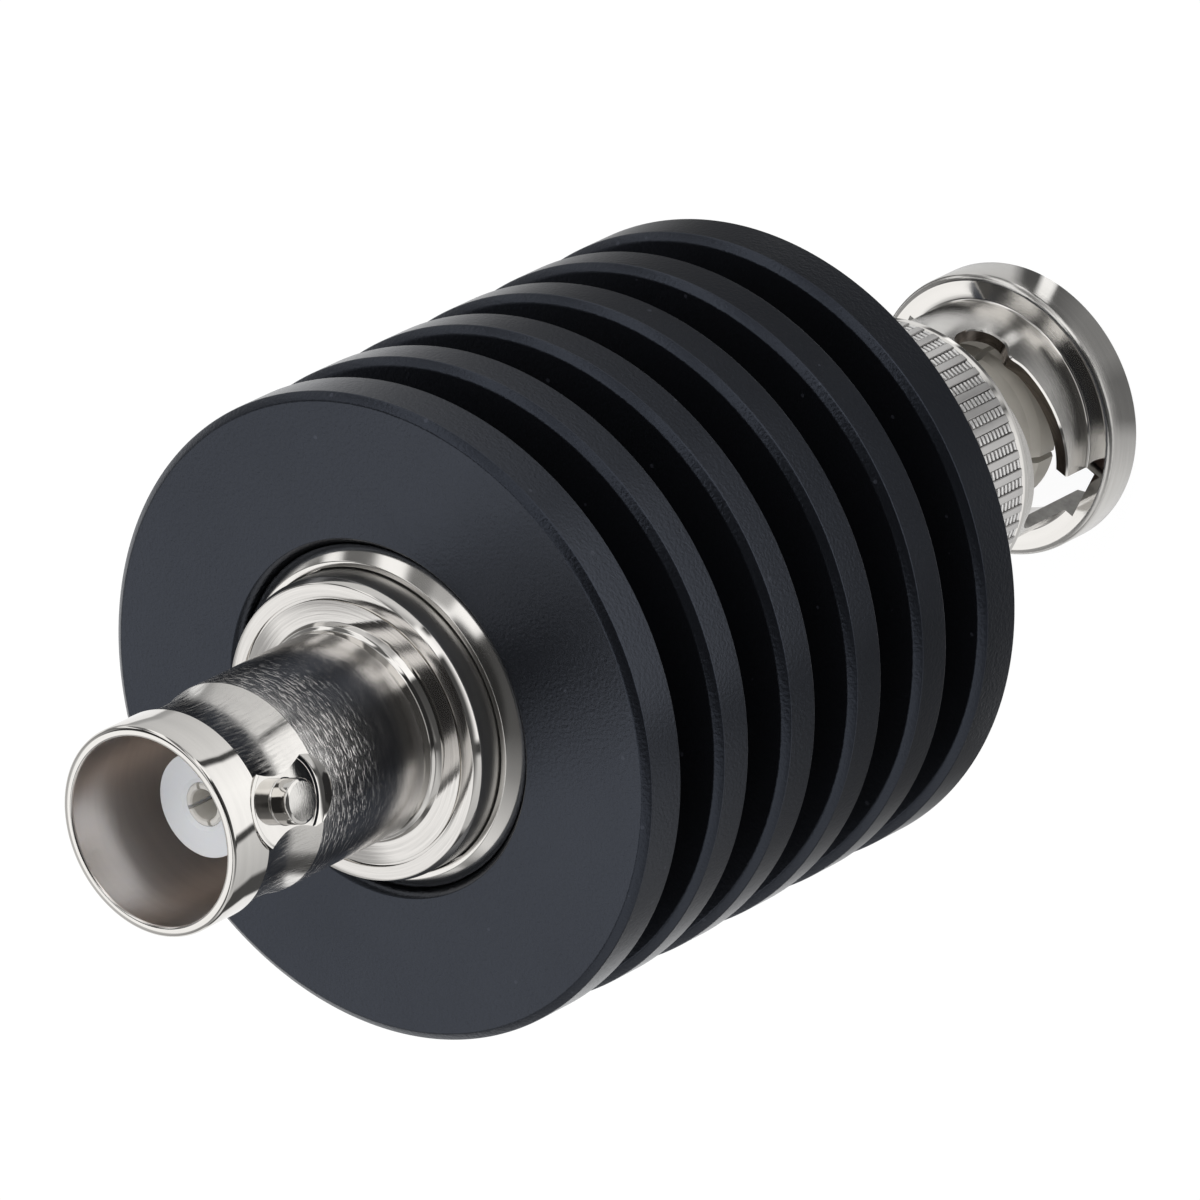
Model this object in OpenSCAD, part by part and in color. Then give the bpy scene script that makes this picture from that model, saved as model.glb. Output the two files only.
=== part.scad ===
// Coaxial attenuator with a bayonet jack at one end, a bayonet plug at the other and a finned
// heat sink between them. Millimetres. The axis is Z and the part stands on the mouth of the
// plug's coupling nut: z = 0 is that mouth, and the jack's rim is the highest point.
// The jack's two lugs lie on the X axis.

/* [Heat sink] */
// Outside diameter of the fins
sink_d = 30; // [26:0.5:40]
// Diameter at the bottom of the grooves between the fins
sink_core_d = 19.2; // [18.4:0.2:22]
// Number of fins
fin_count = 6; // [4:1:9]
// Thickness of an inner fin
fin_t = 2; // [1.4:0.1:2.6]
// Thickness of the first and last fin
end_fin_t = 2.35; // [1.8:0.05:3.2]
// Width of a groove between two fins
fin_gap = 2.85; // [2.2:0.05:3.6]
// Chamfer on the jack side edge of each fin, measured along the radius
fin_chamfer = 0.37; // [0.1:0.01:0.6]
// Small broken edge on the plug side of each fin
fin_break = 0.05; // [0.03:0.01:0.3]
// Fillet at the bottom of each groove
fin_root_r = 0.4; // [0.2:0.1:0.8]
// Chamfer at both mouths of the bore, measured along the radius
sink_mouth_chamfer = 0.32; // [0.1:0.02:0.6]

/* [Housing] */
// Outside diameter of the nickel plated tube pressed into the heat sink
housing_d = 16; // [15.4:0.1:16.8]
// How far the crest of the tube's rim stands out of the heat sink
housing_proud = 0.25; // [0:0.05:0.6]
// Width of the sloping rim, measured along the radius
housing_rim_w = 0.85; // [0.5:0.05:0.88]
// Depth of the sloping rim, measured along the axis
housing_rim_l = 0.7; // [0.3:0.05:1.1]
// Depth of the recess that takes the connector's stepped flange
housing_recess_l = 1.6; // [1:0.1:3]
// Wall of the tube around its threaded bore, where the connector bodies and the carrier fit
housing_wall = 1.6; // [1.3:0.05:1.9]
// Width of the flat ring on the rim's crest
rim_crest_w = 0.05; // [0.02:0.01:0.1]

/* [Connector bodies] */
// How far the flange stands out of the heat sink
flange_proud = 1.87; // [1.2:0.05:2.6]
// Chamfer on the flange's edge, measured along the radius
flange_chamfer = 0.17; // [0.05:0.01:0.4]
// Depth of that chamfer, measured along the axis
flange_chamfer_l = 0.4; // [0.1:0.05:0.8]
// From the flange's edge in to the fine ring groove turned in its face
face_groove_inset = 0.87; // [0.5:0.01:1.2]
// Width of that ring groove
face_groove_w = 0.12; // [0.06:0.02:0.3]
// Depth of that ring groove
face_groove_depth = 0.12; // [0.05:0.01:0.3]
// Diameter of the polished neck between the flange and the barrel
neck_d = 9.5; // [9.2:0.05:9.6]
// Fillet where the neck meets the flange
neck_fillet = 0.2; // [0.1:0.05:0.4]
// How far each connector body reaches into the heat sink
body_reach = 6.5; // [5:0.1:8]
// Bore of the coaxial line inside both bodies
line_bore_d = 6.6; // [6.2:0.1:6.9]

/* [Jack] */
// From the heat sink's face to the jack's rim
jack_reach = 15.8; // [15.4:0.1:18]
// Outside diameter of the jack's barrel
jack_d = 9.65; // [9.6:0.01:9.7]
// Bore of the jack's mouth
jack_bore_d = 8.14; // [8.1:0.01:8.2]
// Depth of the jack's bore, from the rim
jack_bore_l = 8.5; // [8:0.1:9.5]
// Widening of the bore at the rim, measured along the radius
jack_lead_in = 0.24; // [0.1:0.02:0.4]
// Length of that widening
jack_lead_in_l = 0.7; // [0.3:0.05:1.2]
// Rounding of the rim
jack_rim_r = 0.18; // [0.08:0.02:0.24]
// Length of the polished band behind the rim
band_l = 2.31; // [1.8:0.01:2.8]
// Length of the waisted groove behind the band
waist_l = 3.74; // [3:0.01:4.4]
// Depth of the waisted groove
waist_depth = 0.22; // [0.1:0.01:0.4]
// Length of the polished neck, from the flange's face
neck_l = 1.2; // [0.8:0.1:2]
// Height of the fine bead between the neck and the barrel
bead_h = 0.05; // [0.02:0.01:0.1]
// Width of that bead
bead_w = 0.25; // [0.1:0.05:0.4]

/* [Bayonet lugs] */
// From the jack's rim to the centre of the lugs
lug_setback = 4.1; // [3.8:0.05:4.4]
// Diameter of a lug
lug_d = 2.04; // [1.9:0.01:2.1]
// Diameter over the ends of the two lugs
lug_span = 11; // [10.9:0.01:11.1]
// Chamfer on the end of a lug
lug_chamfer = 0.12; // [0.05:0.01:0.2]
// Diameter of the milled pocket around a lug
pocket_d = 5.34; // [4.8:0.02:6]
// Distance from the axis to the flat floor of the pocket
pocket_floor = 4.44; // [4.3:0.01:4.6]

/* [Centre conductor] */
// Diameter of the socket in the jack
socket_d = 2.0; // [1.9:0.05:2.2]
// Bore of the socket
socket_bore_d = 1.4; // [1.36:0.01:1.44]
// Depth of the socket's bore
socket_bore_l = 4.2; // [3.6:0.1:6]
// Width of the slots in the socket
socket_slot_w = 0.18; // [0.12:0.01:0.22]
// Length of the slots in the socket
socket_slot_l = 3.2; // [2:0.1:3.4]
// Turn of the socket's slots about the axis, in degrees
socket_turn = 5.6; // [0:0.1:90]
// From the jack's rim down to the socket
socket_recess = 3.75; // [3.5:0.05:5]
// Diameter of the pin in the plug
pin_d = 1.35; // [1.32:0.01:1.37]
// Diameter of the pin's shank in the plug
shank_d = 2.0; // [1.8:0.05:2.2]
// Diameter of the lead behind the socket and the pin
lead_d = 1.1; // [0.9:0.05:1.3]
// Diameter of the white insulator's nose in the jack
nose_d = 4.8; // [4.6:0.05:4.83]
// From the face of the nose to the front of the socket
nose_ahead = 0.04; // [0.02:0.01:0.2]
// From the tip of the pin back to the rim of the plug's white cup
cup_setback = 0.6; // [0.3:0.1:1.5]
// Room between the floor of the cup and the other connector's nose
cup_room = 0.2; // [0.1:0.05:0.4]
// Room around the outside of the cup
cup_inset = 0.25; // [0.1:0.05:0.4]
// From the floor of the cup down to the shoulder of the pin
pin_seat = 0.15; // [0.1:0.05:0.5]
// Length of the support bead behind each insulator
bead_len = 3; // [2:0.1:4]

/* [Plug] */
// From the mouth of the coupling nut to the heat sink's back face
plug_reach = 20.75; // [20.2:0.05:24]
// Diameter over the tips of the slotted outer contact
contact_tip_d = 7.96; // [7.9:0.01:8.04]
// Diameter of the outer contact's fingers behind the tips
contact_d = 7.5; // [7.3:0.05:7.7]
// Length of the wider tip
contact_tip_l = 1.1; // [0.6:0.1:1.6]
// From the mouth of the coupling nut to the tip of the outer contact
contact_recess = 2.3; // [2.2:0.05:3]
// Width of the slots in the outer contact
contact_slot_w = 0.32; // [0.2:0.02:0.5]
// Distance from the gasket to the end of the slots
contact_slot_margin = 0.6; // [0.3:0.1:1.2]
// Turn of the outer contact's slots about the axis, in degrees
contact_turn = 18.6; // [0:0.1:90]
// Thickness of the outer contact's shoulder
shoulder_t = 1.5; // [1:0.1:2]
// Length of the outer contact's stem inside the plug's body
stem_l = 2; // [1.4:0.1:2.4]
// Diameter of that stem
stem_d = 7.4; // [7.2:0.05:7.5]
// Thickness of the gasket
gasket_t = 0.8; // [0.5:0.05:1.1]
// From the tip of the outer contact to the tip of the pin
pin_recess = 0.1; // [0:0.05:0.6]
// Diameter of the plug's body behind the coupling nut
plug_body_d = 9.5; // [9.2:0.05:9.7]

/* [Coupling nut] */
// How far the nut's flange stays inside the edge of the connector's flange
nut_flange_inset = 0.19; // [0:0.01:0.6]
// Thickness of that flange
nut_flange_t = 2.1; // [1.6:0.05:2.4]
// Rounding of the flange's edge on the jack side
nut_flange_r = 0.3; // [0.1:0.02:0.5]
// Rounding of the flange's edge at the mouth
nut_mouth_r = 0.12; // [0.05:0.01:0.3]
// Bore of the nut
nut_bore_d = 10; // [9.96:0.01:10.1]
// Outside diameter of the slotted sleeve
sleeve_d = 11.2; // [11.1:0.02:11.5]
// Length of the sleeve between the flange and the knurled collar
sleeve_l = 6.05; // [6:0.05:6.6]
// Fillet at the foot of the sleeve
sleeve_fillet = 0.1; // [0.05:0.01:0.2]
// Diameter over the knurled ribs
knurl_d = 13.4; // [13:0.05:14.2]
// Depth of the knurl
knurl_depth = 0.24; // [0.15:0.01:0.35]
// Number of ribs in the knurl
knurl_count = 48; // [36:2:60]
// Share of the pitch that a rib's top takes up
knurl_top = 0.42; // [0.3:0.01:0.55]
// Pitch of the fine rings turned across the knurl
ring_pitch = 0.54; // [0.4:0.02:0.9]
// Length of the smooth band at both ends of the knurl
knurl_edge = 0.6; // [0.4:0.05:1.2]
// Diameter of those smooth bands
knurl_band_d = 13.2; // [13:0.05:13.4]
// Thickness of the lip inside the nut, which the washer bears on
lip_t = 0.8; // [0.6:0.05:1.2]
// Bore of that lip
lip_bore_d = 8.36; // [8.3:0.02:8.6]
// Length of the nut behind the lip
nut_tail = 0.85; // [0.5:0.05:1.4]
// Turn of the nut about the axis at rest, in degrees
nut_turn = -42.1; // [-180:0.1:180]

/* [Cam slots] */
// From the nut's mouth to the centre of the lug when locked
detent_z = 5.62; // [5.5:0.01:5.7]
// Turn of the nut from entry to lock, in degrees
cam_turn = 93.8; // [90:0.1:100]
// Width of the cam slot
cam_w = 2.5; // [2.3:0.05:2.6]
// Rise of the cam slot for each degree of turn
cam_rise = 0.0184; // [0.012:0.0002:0.019]
// Height of the crest that the lug passes before it drops into the lock
crest_h = 0.47; // [0.3:0.01:0.55]
// How far the crest stands above the straight part of the cam
crest_bump = 0.16; // [0.05:0.01:0.2]
// Turn from the lock to the crest, in degrees
crest_turn = 12.7; // [12:0.1:16]
// Width of the entry groove
entry_w = 2.7; // [2.5:0.05:3]
// Distance from the axis to the bottom of the entry groove in the flange
entry_r = 5.95; // [5.7:0.05:6.1]

/* [Spring and washers] */
// Free height of the wave washer
wave_h = 1.2; // [1:0.05:1.3]
// Thickness of the wave washer's strip
wave_t = 0.22; // [0.15:0.01:0.3]
// Number of waves
wave_count = 3; // [3:1:4]
// Outside diameter of both washers
washer_d = 9.7; // [9.3:0.05:9.8]
// Bore of both washers
washer_bore_d = 8.5; // [8.4:0.02:8.7]
// Thickness of the flat washer
flat_washer_t = 0.3; // [0.2:0.05:0.5]
// Gap between the gasket and the nut's bore, and around the shoulder
nut_running_gap = 0.1; // [0.06:0.01:0.14]

/* [Attenuator element] */
// Width of the ceramic chip
chip_w = 5; // [4:0.1:6]
// Length of the ceramic chip
chip_l = 8; // [6:0.1:9]
// Thickness of the ceramic chip
chip_t = 0.64; // [0.4:0.02:1]
// Depth of the chip's top below the axis
chip_top = 0.4; // [0.3:0.02:0.5]
// Thickness of the film and of the metal pads
film_t = 0.05; // [0.03:0.01:0.08]
// Width of a ground strip
strip_w = 0.8; // [0.5:0.05:1]
// Length and width of an end pad
pad_l = 1.4; // [1:0.1:1.6]
// Width of an end pad
pad_w = 1.2; // [0.8:0.1:1.6]
// Thickness of the contact tabs
tab_t = 0.15; // [0.1:0.01:0.2]
// Width of the contact tabs
tab_w = 0.9; // [0.6:0.05:1.1]
// Bore of the air line at both ends of the carrier
air_line_d = 3; // [2.6:0.1:3.4]
// Width of the clear space over the chip
chip_room_w = 3.2; // [2.8:0.1:3.4]
// Height of the clear space over the axis
chip_room_h = 1.5; // [1.2:0.1:2]

/* [Fits] */
// Gap of a push fit on each side
push_gap = 0.02; // [0.01:0.005:0.05]
// Gap of a screw thread drawn smooth, on each side
thread_gap = 0.04; // [0.02:0.01:0.08]
// Gap between two faces that are pulled together
face_gap = 0.02; // [0:0.01:0.05]

/* [Hidden] */
$fn = 96;
// Extra length of a cut beyond the surface it opens
cut = 1;
// Extra reach of a joined piece into its neighbour in the same solid
bond = 0.1;

// Stations along the axis
sink_len = 2 * end_fin_t + (fin_count - 2) * fin_t + (fin_count - 1) * fin_gap;
sink_back = plug_reach;
sink_front = sink_back + sink_len;
sink_mid = (sink_back + sink_front) / 2;
jack_tip = sink_front + jack_reach;
jack_face = sink_front + flange_proud;
jack_inner = sink_front - body_reach;
plug_face = sink_back - flange_proud;
plug_inner = sink_back + body_reach;
lug_z = jack_tip - lug_setback;
bore_floor = jack_tip - jack_bore_l;
socket_z = jack_tip - socket_recess;
nose_z = socket_z + nose_ahead;

// Stations of the plug. The seat for the other jack's rim follows from the cam.
mate_pull = 0.3;
gasket_z = detent_z + lug_setback - mate_pull;
shoulder_z = gasket_z + gasket_t;
spring_z = shoulder_z + shoulder_t;
flat_washer_z = spring_z + wave_h;
lip_z = flat_washer_z + flat_washer_t;
lip_back = lip_z + lip_t;
nut_len = lip_back + nut_tail;
collar_z = nut_flange_t + sleeve_l;
stem_end = spring_z + stem_l;
contact_tip_z = contact_recess;
pin_tip_z = contact_tip_z + pin_recess;

// Radii
sink_r = sink_d / 2;
housing_r = housing_d / 2;
housing_bore_r = housing_r - housing_wall;
recess_r = housing_r - housing_rim_w - rim_crest_w;
flange_r = recess_r - 2 * thread_gap;
thread_r = housing_bore_r - thread_gap;
jack_r = jack_d / 2;
jack_bore_r = jack_bore_d / 2;
line_bore_r = line_bore_d / 2;
insulator_r = line_bore_r - push_gap;
contact_r = contact_d / 2;
contact_tip_r = contact_tip_d / 2;
shoulder_r = nut_bore_d / 2 - nut_running_gap;
body_neck_r = lip_bore_d / 2 - 0.08;
stem_r = stem_d / 2;

// Points of an arc about [x, y] from angle a to angle b
function arc(x, y, r, a, b, steps = 6) =
    [for (i = [0:steps]) [x + r * cos(a + (b - a) * i / steps), y + r * sin(a + (b - a) * i / steps)]];

// A solid turned about the axis from points [radius, z]
module turned(points) {
    rotate_extrude() polygon(points);
}

// A tube between two heights
module tube(outer_r, inner_r, z0, z1) {
    difference() {
        translate([0, 0, z0]) cylinder(r = outer_r, h = z1 - z0);
        translate([0, 0, z0 - cut]) cylinder(r = inner_r, h = z1 - z0 + 2 * cut);
    }
}

// Turns a piece drawn for the jack's end over to the plug's end
module at_plug_end() {
    translate([0, 0, 2 * sink_mid]) mirror([0, 0, 1]) children();
}

// Heat sink: one turned piece. Each fin has a chamfer towards the jack.
function fin_thickness(i) = i == 0 || i == fin_count - 1 ? end_fin_t : fin_t;
function fin_z(i) = i == 0 ? sink_back : fin_z(i - 1) + fin_thickness(i - 1) + fin_gap;

module fin(z, t) {
    chamfer_l = fin_chamfer * 0.73;
    turned([
        [sink_core_d / 2 - bond, z], [sink_r - fin_break, z], [sink_r, z + fin_break],
        [sink_r, z + t - chamfer_l], [sink_r - fin_chamfer, z + t],
        [sink_core_d / 2 - bond, z + t]
    ]);
}

// Fillets at both sides of the groove that starts at height z
module groove_fillets(z) {
    r = sink_core_d / 2;
    for (side = [0, 1])
        translate([0, 0, z + side * fin_gap]) mirror([0, 0, side])
            turned(concat([[r - bond, -bond], [r + fin_root_r, -bond]],
                          arc(r + fin_root_r, fin_root_r, fin_root_r, 270, 180),
                          [[r - bond, fin_root_r]]));
}

module heat_sink() {
    color([0.07, 0.075, 0.085])
    difference() {
        union() {
            translate([0, 0, sink_back]) cylinder(d = sink_core_d, h = sink_len);
            for (i = [0:fin_count - 1]) fin(fin_z(i), fin_thickness(i));
            for (i = [0:fin_count - 2]) groove_fillets(fin_z(i) + fin_thickness(i));
        }
        translate([0, 0, sink_back - cut]) cylinder(r = housing_r, h = sink_len + 2 * cut);
        sink_mouth();
        at_plug_end() sink_mouth();
    }
}

// Chamfered mouth of the heat sink's bore
module sink_mouth() {
    depth = housing_rim_l - housing_proud;
    translate([0, 0, sink_front - depth])
        cylinder(r1 = housing_r, r2 = housing_r + sink_mouth_chamfer, h = depth);
    translate([0, 0, sink_front - bond / 10])
        cylinder(r = housing_r + sink_mouth_chamfer, h = cut);
}

// Housing: a tube with a sloping rim, a recess for the flange and a threaded bore
module housing() {
    front = sink_front + housing_proud;
    back = sink_back - housing_proud;
    crest = housing_r - housing_rim_w;
    color([0.72, 0.71, 0.69])
    turned([
        [housing_bore_r, back + housing_recess_l], [recess_r, back + housing_recess_l],
        [recess_r, back], [crest, back], [housing_r - push_gap, back + housing_rim_l],
        [housing_r - push_gap, front - housing_rim_l], [crest, front], [recess_r, front],
        [recess_r, front - housing_recess_l], [housing_bore_r, front - housing_recess_l]
    ]);
}

// The flange that both connector bodies share, drawn for the jack's end:
// outline points from the thread up to the foot of the neck
flange_outline = [
    [0, jack_inner], [thread_r, jack_inner],
    [thread_r, sink_front + housing_proud - housing_recess_l + face_gap],
    [flange_r, sink_front + housing_proud - housing_recess_l + face_gap],
    [flange_r, jack_face - flange_chamfer_l], [flange_r - flange_chamfer, jack_face]
];

module face_groove() {
    r = flange_r - face_groove_inset;
    turned([
        [r - face_groove_w / 2, jack_face + bond], [r - face_groove_w / 2, jack_face - face_groove_depth],
        [r + face_groove_w / 2, jack_face - face_groove_depth], [r + face_groove_w / 2, jack_face + bond]
    ]);
}

// Jack body: barrel, waisted groove, lugs left standing in milled pockets, flange and thread
waist_top = jack_tip - band_l;
waist_bottom = waist_top - waist_l;
bead_z = jack_face + neck_l;
function waist_r(z) =
    jack_r - waist_depth * (1 - pow(2 * (z - waist_bottom) / waist_l - 1, 2));

jack_outline = concat(
    flange_outline,
    [[neck_d / 2 + neck_fillet, jack_face], [neck_d / 2, jack_face + neck_fillet]],
    [[neck_d / 2, bead_z - bead_w / 2], [neck_d / 2 + bead_h, bead_z - bead_w / 4],
     [neck_d / 2 + bead_h, bead_z + bead_w / 4], [jack_r, bead_z + bead_w]],
    [for (i = [0:10]) let (z = waist_bottom + i * waist_l / 10) [waist_r(z), z]],
    arc(jack_r - jack_rim_r, jack_tip - jack_rim_r, jack_rim_r, 0, 90),
    [[0, jack_tip]]
);

module lug() {
    r = lug_d / 2;
    foot = pocket_floor - 3 * bond;
    span = lug_span / 2;
    intersection() {
        translate([0, 0, lug_z]) rotate([0, 90, 0]) translate([0, 0, foot]) {
            cylinder(r = r, h = span - lug_chamfer - foot);
            translate([0, 0, span - lug_chamfer - foot])
                cylinder(r1 = r, r2 = r - lug_chamfer, h = lug_chamfer);
        }
        translate([0, 0, lug_z - lug_d]) cylinder(d = lug_span, h = 2 * lug_d);
    }
}

module lug_pocket() {
    translate([pocket_floor, 0, lug_z]) rotate([0, 90, 0]) cylinder(d = pocket_d, h = cut);
}

module jack_body() {
    color([0.75, 0.74, 0.72])
    difference() {
        union() {
            difference() {
                turned(jack_outline);
                lug_pocket();
                mirror([1, 0, 0]) lug_pocket();
            }
            lug();
            mirror([1, 0, 0]) lug();
        }
        face_groove();
        translate([0, 0, bore_floor]) cylinder(r = jack_bore_r, h = jack_bore_l + cut);
        translate([0, 0, jack_tip - jack_lead_in_l])
            cylinder(r1 = jack_bore_r, r2 = jack_bore_r + jack_lead_in, h = jack_lead_in_l);
        translate([0, 0, jack_inner - cut]) cylinder(r = line_bore_r, h = web_z - jack_inner + cut);
        translate([0, 0, web_z - cut])
            cylinder(r = nose_d / 2 + push_gap, h = bore_floor - web_z + 2 * cut);
    }
}

// The web between the jack's mouth and its line bore holds the insulator by its step
web_t = 2;
web_z = bore_floor - web_t;

// Jack insulator: white plastic nose with a wider body behind the web
module jack_insulator() {
    color([0.92, 0.94, 0.96])
    difference() {
        turned([
            [0, jack_inner + bead_len], [insulator_r, jack_inner + bead_len],
            [insulator_r, web_z - face_gap], [nose_d / 2, web_z - face_gap],
            [nose_d / 2, nose_z], [0, nose_z]
        ]);
        translate([0, 0, jack_inner + bead_len + shank_step])
            cylinder(d = socket_d + 2 * push_gap, h = nose_z - jack_inner);
        translate([0, 0, jack_inner - cut]) cylinder(d = lead_d + 2 * push_gap, h = nose_z - jack_inner);
        translate([0, 0, nose_z - nose_dish_l])
            cylinder(d1 = socket_d + 2 * push_gap, d2 = socket_d + 2 * nose_dish_w, h = nose_dish_l + push_gap);
    }
}
// Small dish in the nose around the socket
nose_dish_w = 0.25;
nose_dish_l = 0.12;
// Distance from the insulator's back to the shank of the centre conductor
shank_step = 1;

// Support bead behind the insulator
module jack_bead() {
    color([0.85, 0.86, 0.84])
        tube(insulator_r, lead_d / 2 + push_gap, jack_inner, jack_inner + bead_len - face_gap);
}

// Jack contact: slotted socket, shank and flattened lead
module jack_contact() {
    shank_z = jack_inner + bead_len + shank_step + face_gap;
    color([0.9, 0.87, 0.78])
    difference() {
        union() {
            translate([0, 0, shank_z]) cylinder(d = socket_d, h = socket_z - socket_edge - shank_z);
            translate([0, 0, socket_z - socket_edge])
                cylinder(d1 = socket_d, d2 = socket_d - 2 * socket_edge, h = socket_edge);
            translate([0, 0, lead_end_jack]) cylinder(d = lead_d, h = shank_z + bond - lead_end_jack);
        }
        translate([0, 0, socket_z - socket_bore_l]) cylinder(d = socket_bore_d, h = socket_bore_l + cut);
        translate([0, 0, socket_z - socket_edge])
            cylinder(d1 = socket_bore_d, d2 = socket_bore_d + 2 * socket_edge, h = socket_edge + push_gap);
        for (i = [0, 1])
            rotate([0, 0, socket_turn + 90 * i])
                translate([-socket_d, -socket_slot_w / 2, socket_z - socket_slot_l])
                    cube([2 * socket_d, socket_slot_w, socket_slot_l + cut]);
        lead_flat(lead_end_jack - cut, pad_l + cut);
    }
}
// Broken edge on the socket's end
socket_edge = 0.08;

// Flat on the underside of a lead, where the tab is soldered
module lead_flat(z, l) {
    translate([-lead_d, -lead_d - chip_top + film_t + tab_t, z]) cube([2 * lead_d, lead_d, l]);
}

// The leads end over the chip's pads
chip_z0 = sink_mid - chip_l / 2;
chip_z1 = sink_mid + chip_l / 2;
lead_end_jack = chip_z1 + face_gap;
lead_end_plug = chip_z0 - face_gap;

// Carrier: a split metal block that holds the chip and grounds its edges
carrier_z0 = plug_inner + face_gap;
carrier_z1 = jack_inner - face_gap;
carrier_r = thread_r;
chip_bottom = -chip_top - chip_t;

module carrier_half(side) {
    intersection() {
        translate([0, 0, carrier_z0]) cylinder(r = carrier_r, h = carrier_z1 - carrier_z0);
        translate([-2 * carrier_r, side < 0 ? -2 * carrier_r : push_gap / 2, carrier_z0 - cut])
            cube([4 * carrier_r, 2 * carrier_r - (side < 0 ? push_gap / 2 : 0), carrier_z1 - carrier_z0 + 2 * cut]);
    }
}

module air_line() {
    translate([0, 0, carrier_z0 - cut]) cylinder(d = air_line_d, h = chip_z0 - carrier_z0 + cut);
    translate([0, 0, chip_z1]) cylinder(d = air_line_d, h = carrier_z1 - chip_z1 + cut);
}

module carrier_base() {
    color([0.72, 0.6, 0.36])
    difference() {
        carrier_half(-1);
        air_line();
        translate([-chip_w / 2 - push_gap, chip_bottom, chip_z0 - push_gap])
            cube([chip_w + 2 * push_gap, carrier_r, chip_l + 2 * push_gap]);
    }
}

// The cap's two ribs reach down to the ground strips on the chip
module carrier_cap() {
    rib_w = strip_w - 2 * push_gap;
    color([0.72, 0.6, 0.36])
    difference() {
        union() {
            carrier_half(1);
            for (side = [-1, 1])
                translate([side * (chip_w / 2 - strip_w / 2) - rib_w / 2, -chip_top + film_t, chip_z0 + push_gap])
                    cube([rib_w, chip_top + bond, chip_l - 2 * push_gap]);
        }
        air_line();
        translate([-chip_room_w / 2, -cut, chip_z0])
            cube([chip_room_w, chip_room_h + cut, chip_l]);
    }
}

module chip_substrate() {
    color([0.93, 0.92, 0.88])
        translate([-chip_w / 2, chip_bottom, chip_z0]) cube([chip_w, chip_t, chip_l]);
}

// A thin layer on top of the chip, centred on x and starting at height z
module layer(x, w, z, l) {
    translate([x - w / 2, -chip_top, z]) cube([w, film_t, l]);
}

module resistor_film() {
    film_l = chip_l - 2 * pad_l;
    color([0.16, 0.14, 0.13]) layer(0, chip_w - 2 * strip_w, sink_mid - film_l / 2, film_l);
}

module ground_strips() {
    color([0.8, 0.76, 0.6])
    for (side = [-1, 1]) layer(side * (chip_w / 2 - strip_w / 2), strip_w, chip_z0, chip_l);
}

module input_pad() {
    color([0.84, 0.8, 0.62]) layer(0, pad_w, chip_z1 - pad_l, pad_l);
}

module output_pad() {
    color([0.84, 0.8, 0.62]) layer(0, pad_w, chip_z0, pad_l);
}

// A contact tab lies on its pad and under the flat of its lead
module tab(z) {
    translate([-tab_w / 2, -chip_top + film_t, z]) cube([tab_w, tab_t, 2 * pad_l]);
}

module input_tab() {
    color([0.85, 0.72, 0.4]) tab(chip_z1 - pad_l);
}

module output_tab() {
    color([0.85, 0.72, 0.4]) tab(chip_z0 - pad_l);
}

// Plug body: thread and flange as on the jack, a neck that carries the coupling nut
module plug_body() {
    color([0.75, 0.74, 0.72])
    difference() {
        union() {
            at_plug_end() turned(concat(flange_outline, [[0, jack_face]]));
            turned([
                [0, spring_z], [body_neck_r, spring_z], [body_neck_r, lip_back + face_gap],
                [plug_body_d / 2, lip_back + face_gap], [plug_body_d / 2, plug_face - neck_fillet],
                [plug_body_d / 2 + neck_fillet, plug_face], [plug_body_d / 2, plug_face + bond],
                [0, plug_face + bond]
            ]);
        }
        at_plug_end() face_groove();
        translate([0, 0, spring_z - cut]) cylinder(r = stem_r + push_gap, h = stem_l + face_gap + cut);
        translate([0, 0, spring_z]) cylinder(r = line_bore_r, h = plug_inner - spring_z + cut);
    }
}

module plug_bead() {
    color([0.85, 0.86, 0.84])
        tube(insulator_r, lead_d / 2 + push_gap, plug_inner - bead_len + face_gap, plug_inner);
}

// Plug insulator: its cup takes the nose of the other jack's insulator
cup_z = pin_tip_z + cup_setback;
cup_floor = gasket_z - socket_recess + nose_ahead + cup_room;
cup_r = nose_d / 2 + 0.1;
cup_wall_r = line_bore_r - cup_inset;
shank_z_plug = cup_floor + pin_seat;

module plug_insulator() {
    insulator_back = plug_inner - bead_len;
    color([0.92, 0.94, 0.96])
    difference() {
        turned([
            [0, cup_z], [cup_wall_r, cup_z], [cup_wall_r, shoulder_z], [insulator_r, shoulder_z],
            [insulator_r, insulator_back], [0, insulator_back]
        ]);
        translate([0, 0, cup_z - cut]) cylinder(r = cup_r, h = cup_floor - cup_z + cut);
        translate([0, 0, cup_z]) cylinder(d = lead_d + 2 * push_gap, h = insulator_back - cup_z + cut);
        translate([0, 0, cup_z])
            cylinder(d = pin_d + 2 * push_gap, h = shank_z_plug - cup_z + bond);
        translate([0, 0, shank_z_plug - face_gap])
            cylinder(d = shank_d + 2 * push_gap, h = insulator_back - shank_step - shank_z_plug + face_gap);
    }
}

// Plug pin: rounded tip, pin, shank and flattened lead
module plug_pin() {
    shank_end = plug_inner - bead_len - shank_step - face_gap;
    tip_r = pin_d / 2;
    color([0.88, 0.8, 0.58])
    difference() {
        turned(concat(
            [[0, pin_tip_z]],
            [for (p = arc(0, 0, 1, 270, 360)) if (p[0] > 0.01) [p[0] * tip_r, pin_tip_z + pin_d * (1 + p[1])]],
            [
                [tip_r, shank_z_plug], [shank_d / 2, shank_z_plug], [shank_d / 2, shank_end],
                [lead_d / 2, shank_end], [lead_d / 2, lead_end_plug], [0, lead_end_plug]
            ]
        ));
        lead_flat(lead_end_plug - pad_l, pad_l + cut);
    }
}

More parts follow.
